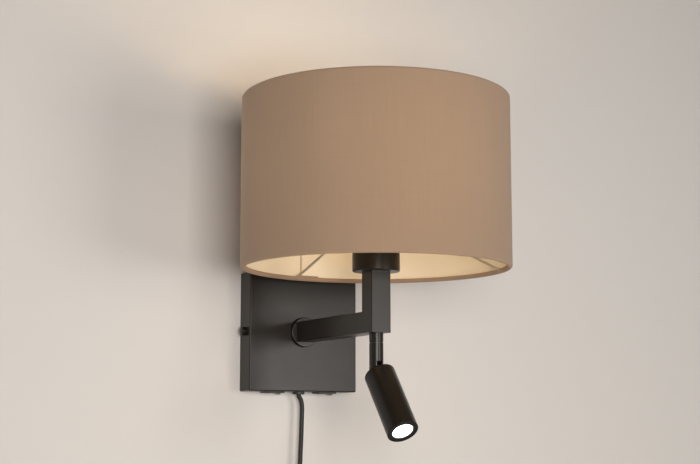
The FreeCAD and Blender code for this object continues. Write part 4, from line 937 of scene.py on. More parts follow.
POWDER_COAT = Finish(
    "black_powder_coat",
    (0.009, 0.0065, 0.004),
    0.30,
    specular=0.25,
    fineness=1500.0,
    relief=0.00002,
)
CASING_COAT = Finish(
    "black_casing_coat",
    (0.006, 0.0042, 0.0028),
    0.29,
    specular=0.2,
    fineness=1700.0,
    relief=0.00001,
)
MATT_PLASTIC = Finish(
    "matt_black_plastic", (0.022, 0.021, 0.020), 0.5, fineness=2600.0, relief=0.00002
)
SATIN_PLASTIC = Finish(
    "satin_black_plastic", (0.018, 0.018, 0.018), 0.3, fineness=2600.0, relief=0.000006
)
WHITE_PLASTIC = Finish(
    "white_plastic", (0.78, 0.77, 0.73), 0.42, fineness=1800.0, relief=0.00001, drift=0.04
)
SHEATH = Finish(
    "cord_sheath", (0.010, 0.009, 0.008), 0.5, specular=0.3, fineness=1400.0, relief=0.000004
)
LACQUERED_WIRE = Finish(
    "pale_lacquered_wire", (0.37, 0.30, 0.22), 0.5, fineness=1500.0, relief=0.00001, drift=0.05
)
LINING = Finish(
    "drum_lining",
    (0.80, 0.72, 0.58),
    0.6,
    specular=0.3,
    fineness=700.0,
    relief=0.00004,
    drift=0.05,
)
# The lining's cut edge, darker than the lining to paint the shadow along the lap's step
LINING_EDGE_AND_SHADOW = Finish("lining_cut_edge_and_shadow", (0.48, 0.38, 0.26), 0.7, specular=0.2)
BULB_SHELL = Finish("bulb_shell", (0.84, 0.83, 0.80), 0.35, relief=0.00001, drift=0.03)
CLEAR_PLASTIC = Finish("optic_plastic", (0.75, 0.77, 0.78), 0.12, relief=0.000004, drift=0.04)
ZINC = TurnedMetal("zinc_plate", (0.56, 0.55, 0.52), 0.36)
ALUMINIUM = TurnedMetal("bare_aluminium", (0.72, 0.72, 0.72), 0.32)
BRASS = TurnedMetal("spring_brass", (0.66, 0.47, 0.20), 0.3)
BLACK_ZINC = TurnedMetal("black_zinc_plate", (0.06, 0.055, 0.05), 0.38)
NICKEL = TurnedMetal("nickel_plate", (0.68, 0.66, 0.62), 0.2)
# The taupe linen, with a warm painted glow in place of the bulb's light coming through it
CLOTH = DrumCloth(
    "taupe_linen",
    (0.315, 0.213, 0.143),
    0.86,
    specular=0.1,
    drift=0.22,
    gloss_drift=0.03,
    relief=0.00012,
    centre=DRUM_CENTRE,
    radius=0.125,
    thread=0.00042,
    sheen=0.15,
    sheen_tint=(0.85, 0.82, 0.80),
    glow=(1.0, 0.60, 0.30),
)
OPAL_LIGHT = Lit("lit_opal_globe", (0.9, 0.87, 0.8), 0.3, strength=26.0, glow=(1.0, 0.71, 0.39))
LENS_LIGHT = Lit("lit_lens", (0.9, 0.9, 0.88), 0.15, strength=3.0, glow=(1.0, 0.97, 0.9))

CARRIED_OVER = {
    ZINC: (
        "wall_bracket",
        "arm_nipple",
        "arm_washer",
        "arm_nut",
        "socket_nipple",
        "swivel_nut",
        "swivel_pin",
        "terminal_screws",
    ),
    BLACK_ZINC: ("swivel_washer",),
    ALUMINIUM: ("spot_heat_sink", "led_board", "bulb_cap"),
    BRASS: ("contact_shell", "centre_contact"),
    WHITE_PLASTIC: ("terminal_block", "led_driver"),
    MATT_PLASTIC: ("outlet_nut",),
    POWDER_COAT: ("arm_end_plug", "post_head_plug"),
    LACQUERED_WIRE: ("shade_top_ring", "shade_bottom_ring"),
    CLEAR_PLASTIC: ("spot_optic",),
}


def dressed(piece: Piece, finish: Finish, body: Body, slot: str, *nodes: str) -> Piece:
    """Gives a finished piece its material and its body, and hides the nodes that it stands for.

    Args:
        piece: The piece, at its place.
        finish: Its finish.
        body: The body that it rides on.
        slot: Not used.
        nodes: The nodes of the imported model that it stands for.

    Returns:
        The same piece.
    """
    piece.data.materials.clear()
    piece.data.materials.append(finish.material())
    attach(piece, body.value)
    if nodes:
        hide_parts(*nodes)
    log.info("%s on %s: %s", piece.name, body.value, finish.name)
    return piece


# The room


@dataclass(frozen=True)
class Softbox:
    """A soft square light."""

    name: str
    at: Point
    side: float
    power: float
    colour: Colour = (1.0, 0.965, 0.92)
    towards: Point = (0.0, -0.1, 0.03)

    def hang(self) -> None:
        """Hangs the light at its place and turns it towards the lamp."""
        bpy.ops.object.light_add(type="AREA", location=self.at)
        light = bpy.context.object
        light.name = self.name
        light.data.shape = "SQUARE"
        light.data.size = self.side
        light.data.energy = self.power
        light.data.color = self.colour
        way = Vector(self.towards) - Vector(self.at)
        light.rotation_euler = way.to_track_quat("-Z", "Y").to_euler()
        log.info("%s: %.1f W", self.name, self.power)


@dataclass
class Room:
    """The wall behind the lamp, the floor under it, the lights and the camera."""

    camera_place: Point = (-0.6149, -1.2984, -0.0990)
    camera_yaw: float = 27.64
    camera_pitch: float = 8.11
    focal_length: float = 71.92
    sensor: float = 36.0
    wall_gap: float = 0.0005
    floor_drop: float = 0.75
    room_side: float = 14.0
    wall_colour: Colour = (0.655, 0.625, 0.60)
    floor_colour: Colour = (0.72, 0.69, 0.65)
    paint_fineness: float = 260.0
    paint_relief: float = 0.00008
    air_colour: Colour = (0.93, 0.96, 1.0)
    air_strength: float = 0.08
    backdrop_colour: Colour = (0.47, 0.46, 0.44)
    floor_lift: float = 0.6
    lights: tuple[Softbox, ...] = (
        Softbox("window_light", (0.58, -1.49, -0.07), 0.5, 7.2),
        Softbox("front_light", (-0.40, -1.45, -0.05), 0.5, 13.7),
        Softbox("back_light", (0.3, 1.6, 0.5), 1.0, 14.0),
        Softbox("left_back_light", (-1.5, 0.5, 0.2), 0.7, 5.0, (0.93, 0.96, 1.0)),
        Softbox("right_back_light", (1.5, 0.7, 0.3), 0.7, 4.0),
    )

    def make_camera(self) -> None:
        """Sets the camera where the photograph was taken from."""
        bpy.ops.object.camera_add(location=self.camera_place)
        camera = bpy.context.object
        camera.name = "room_camera"
        pitch, yaw = math.radians(self.camera_pitch), math.radians(self.camera_yaw)
        camera.rotation_euler = (SQUARE + pitch, 0, -yaw)
        camera.data.lens = self.focal_length
        camera.data.sensor_width = self.sensor
        bpy.context.scene.camera = camera

    def one_sided(self, name: str, colour: Colour, lift: float) -> Material:
        """Builds a painted surface that is there from its front alone, and gives back the
        light that falls on it.

        Args:
            name: The material's name.
            colour: The paint's colour.
            lift: How far it is seen in the backdrop's colour in place of its own.

        Returns:
            The new material.
        """
        made = bpy.data.materials.new(name)
        made.use_nodes = True
        graph = Graph(made.node_tree)
        relief = graph.bump(
            graph.noise(graph.place(), self.paint_fineness, detail=3.0), self.paint_relief
        )
        feeds = {"Color": Graph.full(colour), "Normal": relief}
        paint = graph.shader("ShaderNodeBsdfDiffuse", feeds)
        backdrop = graph.shader("ShaderNodeEmission", {"Color": Graph.full(self.backdrop_colour)})
        pale = graph.mixed(graph.times(graph.shown(), lift), paint, backdrop)
        back = graph.node("ShaderNodeNewGeometry").outputs["Backfacing"]
        there = graph.times(graph.shown("Is Diffuse Ray"), graph.math("SUBTRACT", 1.0, back))
        surface = graph.mixed(there, graph.shader("ShaderNodeBsdfTransparent"), pale)
        graph.node("ShaderNodeOutputMaterial", {"Surface": surface})
        return made

    def plane(
        self, name: str, at: Point, way: Axis, paint: str, colour: Colour, lift: float = 0.0
    ) -> Piece:
        """Lays a painted square.

        Args:
            name: The square's name.
            at: Its middle.
            way: The axis that it faces.
            paint: The paint's name.
            colour: The paint's colour.
            lift: How far it is seen in the backdrop's colour.

        Returns:
            The square.
        """
        Bench.let_go()
        bpy.ops.mesh.primitive_plane_add(size=self.room_side)
        square = Bench.added(name)
        Bench.settle(square, at, way.value)
        square.data.materials.append(self.one_sided(paint, colour, lift))
        return square

    def make_air(self) -> None:
        """Fills the air with soft light, behind which the backdrop shows."""
        world = bpy.data.worlds.new("studio_air")
        world.use_nodes = True
        bpy.context.scene.world = world
        graph = Graph(world.node_tree)
        kinds = ((self.air_colour, self.air_strength), (self.backdrop_colour, 1.0))
        air, backdrop = [
            graph.shader("ShaderNodeBackground", (Graph.full(colour), strength))
            for colour, strength in kinds
        ]
        surface = graph.mixed(graph.shown(), air, backdrop)
        graph.node("ShaderNodeOutputWorld", {"Surface": surface})
        bpy.context.scene.view_settings.view_transform = "Standard"

    def make(self) -> None:
        """Makes the camera, the surfaces and the lights."""
        self.make_camera()
        behind, below = (0, self.wall_gap, 0), (0, 0, -self.floor_drop)
        wall = self.plane("room_wall", behind, Axis.OUT_OF_WALL, "wall_paint", self.wall_colour)
        floor = self.plane(
            "room_floor", below, Axis.UP, "floor_paint", self.floor_colour, self.floor_lift
        )
        for light in self.lights:
            light.hang()
        self.make_air()
        log.info("room: wall, floor, lights and camera")


# The mains cord


@dataclass
class MainsCord:
    """The cord from the wall box, wound up and tied below it, and the plug on its end."""

    diameter: float = 0.0046
    length: float = 1.4968
    drop: tuple[Point, ...] = (
        (0.0, -0.012, -0.062),
        (0.0, -0.012, -0.0638),
        (0.0030, -0.012, -0.0678),
        (0.0040, -0.0121, -0.0745),
        (0.0037, -0.0122, -0.082),
        (0.0033, -0.0125, -0.091),
        (0.0028, -0.0127, -0.105),
        (0.0021, -0.0126, -0.120),
        (0.0019, -0.0122, -0.135),
        (-0.0046, -0.0106, -0.149),
        (-0.0224, -0.0072, -0.165),
        (-0.0300, -0.0044, -0.180),
        (-0.0300, -0.0044, -0.194),
    )
    tail: tuple[Point, ...] = (
        (-0.0300, -0.0197, -0.2032),
        (-0.0300, -0.0197, -0.2097),
        (-0.0306, -0.0185, -0.2172),
        (-0.0306, -0.0185, -0.2242),
    )
    coil_middle: Point = (0.0014, -0.0044, -0.1986)
    coil_radius: float = 0.0314
    pitch: float = 0.0051
    layers: int = 4
    layer_turns: int = 2
    points_per_turn: int = 16
    climb_turns: float = 0.5
    ring_steps: int = 5
    sheath_long: float = 0.009
    lead_from: float = 0.008
    lead_long: float = 0.014
    lead_radius: float = 0.0009
    lead_apart: float = 0.0011
    tie_low: Point = (-0.0011, -0.0263, -0.17993)
    tie_high: Point = (0.0039, -0.0006, -0.16468)
    tie_thick: float = 0.0012
    strap_round: float = 0.00015
    lock_tall: float = 0.006
    lock_proud: float = 0.0004
    lock_out: float = 0.0028
    lock_in: float = 0.0006
    plug_top: Point = (-0.0306, -0.0185, -0.2242)
    plug_tall: float = 0.036
    plug_wide: float = 0.0353
    plug_thick: float = 0.0137
    plug_block: float = 0.021
    plug_round: float = 0.0028
    neck_tall: float = 0.0105
    neck_wide: float = 0.0042
    neck_thin: float = 0.0029
    neck_root: float = 0.003
    ribs: int = 5
    rib_share: float = 0.62
    groove_shares: tuple[float, float] = (0.66, 0.98)
    groove_deep: float = 0.0006
    pin_spacing: float = 0.018
    pin_radius: float = 0.002
    pin_long: float = 0.019
    pin_round: float = 0.0015
    sleeve_share: float = 0.52
    sleeve_thick: float = 0.00012

    def coil_point(self, turns: float) -> Point:
        """Finds a control point of the coil.

        Args:
            turns: How far round the coil the point lies.

        Returns:
            The point: the radius goes in and out again layer by layer, and the cord
            climbs a layer each time that it turns back.
        """
        within = turns % (2 * self.layer_turns)
        radius = self.coil_radius - self.pitch * (self.layer_turns - abs(within - self.layer_turns))
        radius /= math.cos(math.pi / self.points_per_turn)
        climbed = 0.0
        for layer in range(1, self.layers):
            through = (turns - layer * self.layer_turns) / self.climb_turns + 0.5
            climbed += (1 - math.cos(math.pi * min(max(through, 0.0), 1.0))) / 2
        angle = math.pi + WHOLE_TURN * turns
        x, y, z = self.coil_middle
        across, up = radius * math.cos(angle), radius * math.sin(angle)
        return (x + across, y - self.pitch * climbed, z + up)

    def make_cord(self) -> Piece:
        """Lays the cord as one smooth line through its route and its coil.

        Returns:
            The cord.
        """
        count = self.layers * self.layer_turns * self.points_per_turn
        coil = [self.coil_point(number / self.points_per_turn) for number in range(count + 1)]
        route = [*self.drop, *coil, *self.tail]
        return Bench.curve("mains_cord", route, self.diameter / 2, self.ring_steps)

    def make_lead_in(self) -> Piece:
        """Turns the end of the cord that goes into the wall box.

        Returns:
            The cord's end, with its sheath cut back from two wires.
        """
        corners = band(0, self.diameter / 2, 0, self.sheath_long, 0, 0, CRISP)
        sheath = Bench.turned("cord_lead", corners, Facets.THIN)
        section = band(0, self.lead_radius, self.lead_from, self.lead_long)
        wire = Bench.turned("wire", section, Facets.THINNEST)
        other = Bench.copied(wire, "other_wire", (self.lead_apart, 0, 0))
        Bench.settle(wire, (-self.lead_apart, 0, 0))
        Bench.gather(sheath, wire, other)
        return Bench.placed(sheath, self.drop[0])

    def make_tie(self) -> Piece:
        """Bends the cable tie round the turns at the top of the coil.

        Returns:
            The tie.
        """
        (x0, y0, z0), (x1, y1, z1) = self.tie_low, self.tie_high
        tie = Bench.opened(
            "coil_strap",
            self.tie_low,
            self.tie_high,
            lambda middle, normal: abs(normal.x) > FACING,
            lambda a, b: abs(a.x - b.x) > abs(x1 - x0) / 2,
            2 * self.tie_thick,
        )
        Bench.finish(tie, "SOLIDIFY", thickness=self.tie_thick, offset=-1)
        middle, half = (z0 + z1) / 2, self.lock_tall / 2
        low = (x0 - self.lock_proud, y0 - self.lock_out, middle - half)
        high = (x1 + self.lock_proud, y0 + self.lock_in, middle + half)
        lock = Bench.block("tie_lock", low, high)
        Bench.soften(lock, SOFT)
        Bench.gather(tie, lock)
        Bench.soften(tie, self.strap_round, steps=2)
        return Bench.placed(tie)

    def make_plug(self) -> Piece:
        """Moulds the flat plug with its ribbed neck.

        Returns:
            The plug.
        """
        half, deep = self.plug_wide / 2, self.plug_thick / 2
        low, top = -self.plug_tall, -self.neck_tall
        shoulder = low + self.plug_block
        plug = Bench.block("plug_shell", (-half, -deep, low), (half, deep, shoulder))
        Bench.open(plug)
        Bench.pick(plug, Part.FACE, lambda middle, normal: normal.z > FACING)
        share = (self.neck_wide / half, self.neck_wide / deep, 1)
        rise = {"value": (0, 0, top - shoulder)}
        bpy.ops.mesh.extrude_region_move(TRANSFORM_OT_translate=rise)
        bpy.ops.transform.resize(value=share, center_override=(0, 0, top))
        Bench.close()
        Bench.round_edges(plug, self.plug_round, lambda a, b: max(a.z, b.z) > low + MERGE, steps=5)
        Bench.soften(plug, FULL)
        corners: list[Corner] = [(0, top - self.neck_root)]
        tall = self.neck_tall / self.ribs
        for number in range(self.ribs):
            wide = self.neck_wide - (self.neck_wide - self.neck_thin) * number / self.ribs
            base = top + number * tall
            groove = wide - self.groove_deep
            corners += [(wide, base, CRISP), (wide, base + tall * self.rib_share, CRISP)]
            corners += [(groove, base + tall * share) for share in self.groove_shares]
        corners.append((0, -FINE))
        Bench.gather(plug, Bench.turned("plug_neck", corners, Facets.SLIM, steps=2))
        return Bench.placed(plug, self.plug_top)

    def make_pins(self) -> list[Piece]:
        """Turns the plug's two pins and their sleeves.

        Returns:
            Both pins, then both sleeves.
        """
        base, radius = -self.plug_tall, self.pin_radius
        slim, tip = radius - KEEN, base - self.pin_long
        profile = [(0, base + OVERRUN), (slim, base + OVERRUN), (slim, tip, self.pin_round)]
        profile.append((0, tip))
        pin = Bench.turned("plug_pin_left", profile, Facets.SLIM, steps=5)
        inner, top = radius - self.sleeve_thick, base + OVERRUN / 2
        end = base - self.pin_long * self.sleeve_share
        profile = [(inner, top), (radius, top), (radius, end, KEEN), (inner, end)]
        sleeve = Bench.turned("pin_sleeve_left", profile, Facets.SLIM)
        x, y, z = self.plug_top
        pieces = []
        for piece, right in ((pin, "plug_pin_right"), (sleeve, "pin_sleeve_right")):
            other = Bench.copied(piece, right)
            pieces.append(Bench.placed(piece, (x - self.pin_spacing / 2, y, z)))
            pieces.append(Bench.placed(other, (x + self.pin_spacing / 2, y, z)))
        return pieces

    def make(self) -> None:
        """Makes the cord and all that is on it."""
        solids = ("cord_drop", "cord_coil", "cord_tail")
        cord = dressed(self.make_cord(), SHEATH, Body.LAMP, "cord_black", *solids)
        dressed(self.make_lead_in(), SHEATH, Body.LAMP, "cord_black", "cord_lead_in")
        tie = dressed(self.make_tie(), MATT_PLASTIC, Body.LAMP, "black_plastic", "coil_tie")
        plug = dressed(self.make_plug(), MATT_PLASTIC, Body.LAMP, "black_plastic", "plug_body")
        pins = self.make_pins()
        for pin in pins[:2]:
            dressed(pin, NICKEL, Body.LAMP, "pin_metal", "plug_pins")
        for sleeve in pins[2:]:
            dressed(sleeve, MATT_PLASTIC, Body.LAMP, "black_plastic", "plug_pins")


# The wall box


@dataclass
class WallBox:
    """The square cover on the wall, its screws, its two switches and the cord's outlet."""

    half: float = 0.0595
    depth: float = 0.024
    wall: float = 0.0012
    edge: float = 0.0013
    arm_hole: float = NIPPLE_HOLE
    outlet_hole: float = 0.0041
    screw_hole: float = 0.0022
    drill_half: float = 0.003
    head_radius: float = 0.0043
    head_tall: float = 0.0048
    head_round: float = 0.0014
    shank_radius: float = 0.0019
    shank_long: float = 0.007
    shank_round: float = 0.0006
    slot_wide: float = 0.001
    slot_deep: float = 0.0012
    slot_round: float = 0.00012
    switch_offset: float = 0.029
    lip_long: float = 0.0210
    lip_wide: float = 0.0148
    lip_thick: float = 0.0016
    well_long: float = 0.0168
    well_wide: float = 0.0098
    well_deep: float = 0.006
    block_long: float = 0.0188
    block_wide: float = 0.0126
    block_tall: float = 0.014
    blade_offset: float = 0.0055
    blade_size: Point = (0.0008, 0.0048, 0.006)
    rocker_half: float = 0.0074
    rocker_wide: float = 0.0094
    rocker_deep: float = 0.0032
    rocker_cheek: float = 0.0015
    rocker_keel: float = 0.003
    rocker_waist: float = 0.003
    rocker_round: float = 0.0006
    rocker_lift: float = 0.002
    rocker_angle: float = 8.0
    trunnion_radius: float = 0.001
    trunnion_half: float = 0.0053
    gland_radius: float = 0.006
    gland_tall: float = 0.0025
    barrel_radius: float = 0.004
    barrel_tall: float = 0.008
    cord_hole: float = 0.00235

    def make_cover(self) -> Piece:
        """Folds the cover: a shallow box that is open to the wall, with its holes.

        Returns:
            The cover.
        """
        cover = Bench.opened(
            "cover_box",
            (-self.half, -self.depth, -self.half),
            (self.half, 0, self.half),
            lambda middle, normal: normal.y > FACING,
            lambda a, b: min(a.y, b.y) < -self.depth + MERGE,
            self.edge,
        )
        Bench.finish(cover, "SOLIDIFY", thickness=self.wall, offset=-1, use_even_offset=True)
        middle, low = -self.depth / 2, -self.half
        cutters = [
            self.drill(self.arm_hole, (0, -self.depth, 0), Axis.OUT_OF_WALL),
            self.drill(self.outlet_hole, (0, middle, low), Axis.UP),
        ]
        long, wide = self.block_long / 2 + KEEN, self.block_wide / 2 + KEEN
        for side in (-1, 1):
            cutters.append(self.drill(self.screw_hole, (side * self.half, middle, 0), Axis.RIGHT))
            x = side * self.switch_offset
            corner = (x - long, middle - wide, low - self.edge)
            other = (x + long, middle + wide, low + self.wall + self.edge)
            cutters.append(Bench.block("switch_cut", corner, other))
        Bench.combine(cover, Join.CUT, *cutters)
        return Bench.placed(cover)

    def drill(self, radius: float, at: Point, way: Axis) -> Piece:
        """Makes a short drill through a sheet.

        Args:
            radius: The hole's radius.
            at: The hole's middle.
            way: The hole's axis.

        Returns:
            The drill, at the hole.
        """
        section = band(0, radius, -self.drill_half, self.drill_half)
        piece = Bench.turned("drill", section, Facets.NARROW)
        Bench.settle(piece, at, way.value)
        return piece

    def make_screws(self) -> list[Piece]:
        """Turns the slotted heads and the shanks of the two side screws.

        Returns:
            The left and the right screw.
        """
        radius, tall = self.head_radius, self.head_tall
        shank, end = self.shank_radius, -self.shank_long
        profile = [(0, tall), (radius, tall, self.head_round), (radius, 0)]
        profile += [(shank, 0), (shank, end, self.shank_round), (0, end)]
        screw = Bench.turned("cover_screw_left", profile, Facets.NARROW, steps=5)
        long, wide = 2 * radius, self.slot_wide / 2
        corner, other = (-long, -wide, tall - self.slot_deep), (long, wide, tall * 2)
        Bench.combine(screw, Join.CUT, Bench.block("slot", corner, other))
        Bench.soften(screw, self.slot_round, steps=2)
        Bench.settle(screw, turn=(0, 0, SQUARE))
        right = Bench.copied(screw, "cover_screw_right")
        middle = -self.depth / 2
        return [
            Bench.placed(screw, (-self.half, middle, 0), Axis.LEFT.value),
            Bench.placed(right, (self.half, middle, 0), Axis.RIGHT.value),
        ]

    def make_housing(self, name: str, x: float) -> Piece:
        """Moulds a switch housing with its lip, well and blades.

        Args:
            name: The housing's name.
            x: The middle of the switch.

        Returns:
            The housing.
        """
        thick = self.lip_thick
        long, wide = self.lip_long / 2, self.lip_wide / 2
        housing = Bench.block(name, (-long, -wide, -thick), (long, wide, 0))
        Bench.round_edges(housing, FULL, lambda a, b: min(a.z, b.z) < -thick + MERGE, steps=4)
        long, wide = self.block_long / 2, self.block_wide / 2
        block = Bench.block("switch_block", (-long, -wide, -EASED), (long, wide, self.block_tall))
        Bench.combine(housing, Join.WELD, block)
        long, wide = self.well_long / 2, self.well_wide / 2
        well = Bench.block("well", (-long, -wide, -2 * thick), (long, wide, self.well_deep))
        Bench.combine(housing, Join.CUT, well)
        Bench.soften(housing, FINE, steps=2)
        long, wide, tall = self.blade_size
        for middle in (-self.blade_offset, self.blade_offset):
            corner = (middle - long / 2, -wide / 2, self.block_tall - OVERRUN)
            other = (middle + long / 2, wide / 2, self.block_tall + tall)
            blade = Bench.block("blade", corner, other)
            Bench.soften(blade, FINE, steps=2)
            Bench.gather(housing, blade)
        return Bench.placed(housing, (x, -self.depth / 2, -self.half))

    def make_rocker(self, name: str, x: float) -> Piece:
        """Moulds a rocker, pressed down on its left.

        Args:
            name: The rocker's name.
            x: The middle of the switch.

        Returns:
            The rocker.
        """
        end, keel, cheek = self.rocker_half, self.rocker_keel, self.rocker_cheek
        angle, bend = math.radians(self.rocker_angle), self.rocker_round
        tip = -self.rocker_deep - end * math.tan(angle)
        corners = [(0, -self.rocker_deep, self.rocker_waist), (end, tip, bend), (end, -cheek)]
        corners += [(keel, cheek), (-keel, cheek), (-end, -cheek), (-end, tip, bend)]
        rocker = Bench.slab(name, corners, self.rocker_wide, steps=5)
        Bench.soften(rocker, SOFT)
        half = self.trunnion_half
        profile = band(0, self.trunnion_radius, -half, half, 0, FINE, FINE)
        pin = Bench.turned("trunnion", profile, Facets.THIN)
        Bench.settle(pin, turn=Axis.OUT_OF_WALL.value)
        Bench.gather(rocker, pin)
        place = (x, -self.depth / 2, -self.half + self.rocker_lift)
        return Bench.placed(rocker, place, (0, angle, 0))

    def make_outlet(self) -> Piece:
        """Turns the cord's outlet.

        Returns:
            The outlet.
        """
        hole, base, barrel = self.cord_hole, -self.half, self.barrel_radius
        low, high = base - self.gland_tall, base + self.barrel_tall
        corners = [(hole, low, CRISP), (self.gland_radius, low, FULL)]
        corners += [(self.gland_radius, base), (barrel, base), (barrel, high), (hole, high)]
        outlet = Bench.turned("cord_gland", corners, Facets.NARROW)
        return Bench.placed(outlet, (0, -self.depth / 2, 0))

    def make(self) -> None:
        """Makes the whole wall box."""
        dressed(self.make_cover(), POWDER_COAT, Body.LAMP, "black_steel", "wall_cover")
        for screw in self.make_screws():
            dressed(screw, POWDER_COAT, Body.LAMP, "black_steel", "cover_screws")
        for side, body, x in (
            ("left", Body.LEFT_ROCKER, -self.switch_offset),
            ("right", Body.RIGHT_ROCKER, self.switch_offset),
        ):
            housing = self.make_housing("switch_frame_" + side, x)
            dressed(housing, MATT_PLASTIC, Body.LAMP, "black_plastic", "switch_housing_" + side)
            rocker = self.make_rocker("rocker_" + side, x)
            dressed(rocker, SATIN_PLASTIC, body, "black_rocker", "switch_rocker_" + side)
        dressed(self.make_outlet(), MATT_PLASTIC, Body.LAMP, "black_plastic", "cord_outlet")


# The arm and the post


@dataclass
class ArmAndPost:
    """The square tube that reaches out from the wall box, and the one that stands on it."""

    half: float = 0.010
    wall: float = 0.0015
    edge: float = 0.0012
    start: float = 0.028
    reach: float = REACH
    post_top: float = 0.0462
    rosette_radius: float = 0.015
    rosette_thick: float = 0.004
    rosette_bevel: float = 0.0008
    nipple_hole: float = NIPPLE_HOLE
    plug_thick: float = 0.004
    plug_half: float = 0.0084

    def tube(self, name: str, low: Point, high: Point, along: int) -> Piece:
        """Cuts a length of the square tube.

        Args:
            name: The piece's name.
            low: Its lowest corner.
            high: Its highest corner.
            along: The axis that it runs along, 0 to 2.

        Returns:
            The tube, open at both its ends.
        """
        tube = Bench.opened(
            name,
            low,
            high,
            lambda middle, normal: abs(normal[along]) > FACING,
            lambda a, b: abs(a[along] - b[along]) > self.half,
            self.edge,
        )
        Bench.finish(tube, "SOLIDIFY", thickness=self.wall, offset=-1, use_even_offset=True)
        return Bench.placed(tube)

    def make_rosette(self) -> Piece:
        """Turns the disc between the cover and the arm.

        Returns:
            The rosette.
        """
        thick = self.rosette_thick
        corners = band(
            self.nipple_hole, self.rosette_radius, 0, thick, 0, 0, self.rosette_bevel
        )
        rosette = Bench.turned("arm_disc", corners, Facets.BROADER, steps=2)
        return Bench.placed(rosette, (0, thick - self.start, 0), Axis.OUT_OF_WALL.value)

    def make_foot_plug(self) -> Piece:
        """Cuts the plug that closes the foot of the post.

        Returns:
            The plug.
        """
        half, low = self.plug_half, -self.half
        plug = Bench.block("post_foot", (-half, -half, low), (half, half, low + self.plug_thick))
        Bench.soften(plug, CRISP)
        return Bench.placed(plug, (0, -self.reach, 0))

    def make(self) -> None:
        """Makes the rosette, the arm, the post and its foot."""
        half, back, front = self.half, -self.reach + self.half, -self.reach - self.half
        arm = self.tube("arm_bar", (-half, back - self.edge, -half), (half, -self.start, half), 1)
        post = self.tube("post_bar", (-half, front, -half), (half, back, self.post_top), 2)
        for piece, node in (
            (self.make_rosette(), "arm_rosette"),
            (arm, "arm_tube"),
            (post, "post_tube"),
            (self.make_foot_plug(), "post_foot_plug"),
        ):
            dressed(piece, POWDER_COAT, Body.LAMP, "black_steel", node)


# The lampholder and the bulb


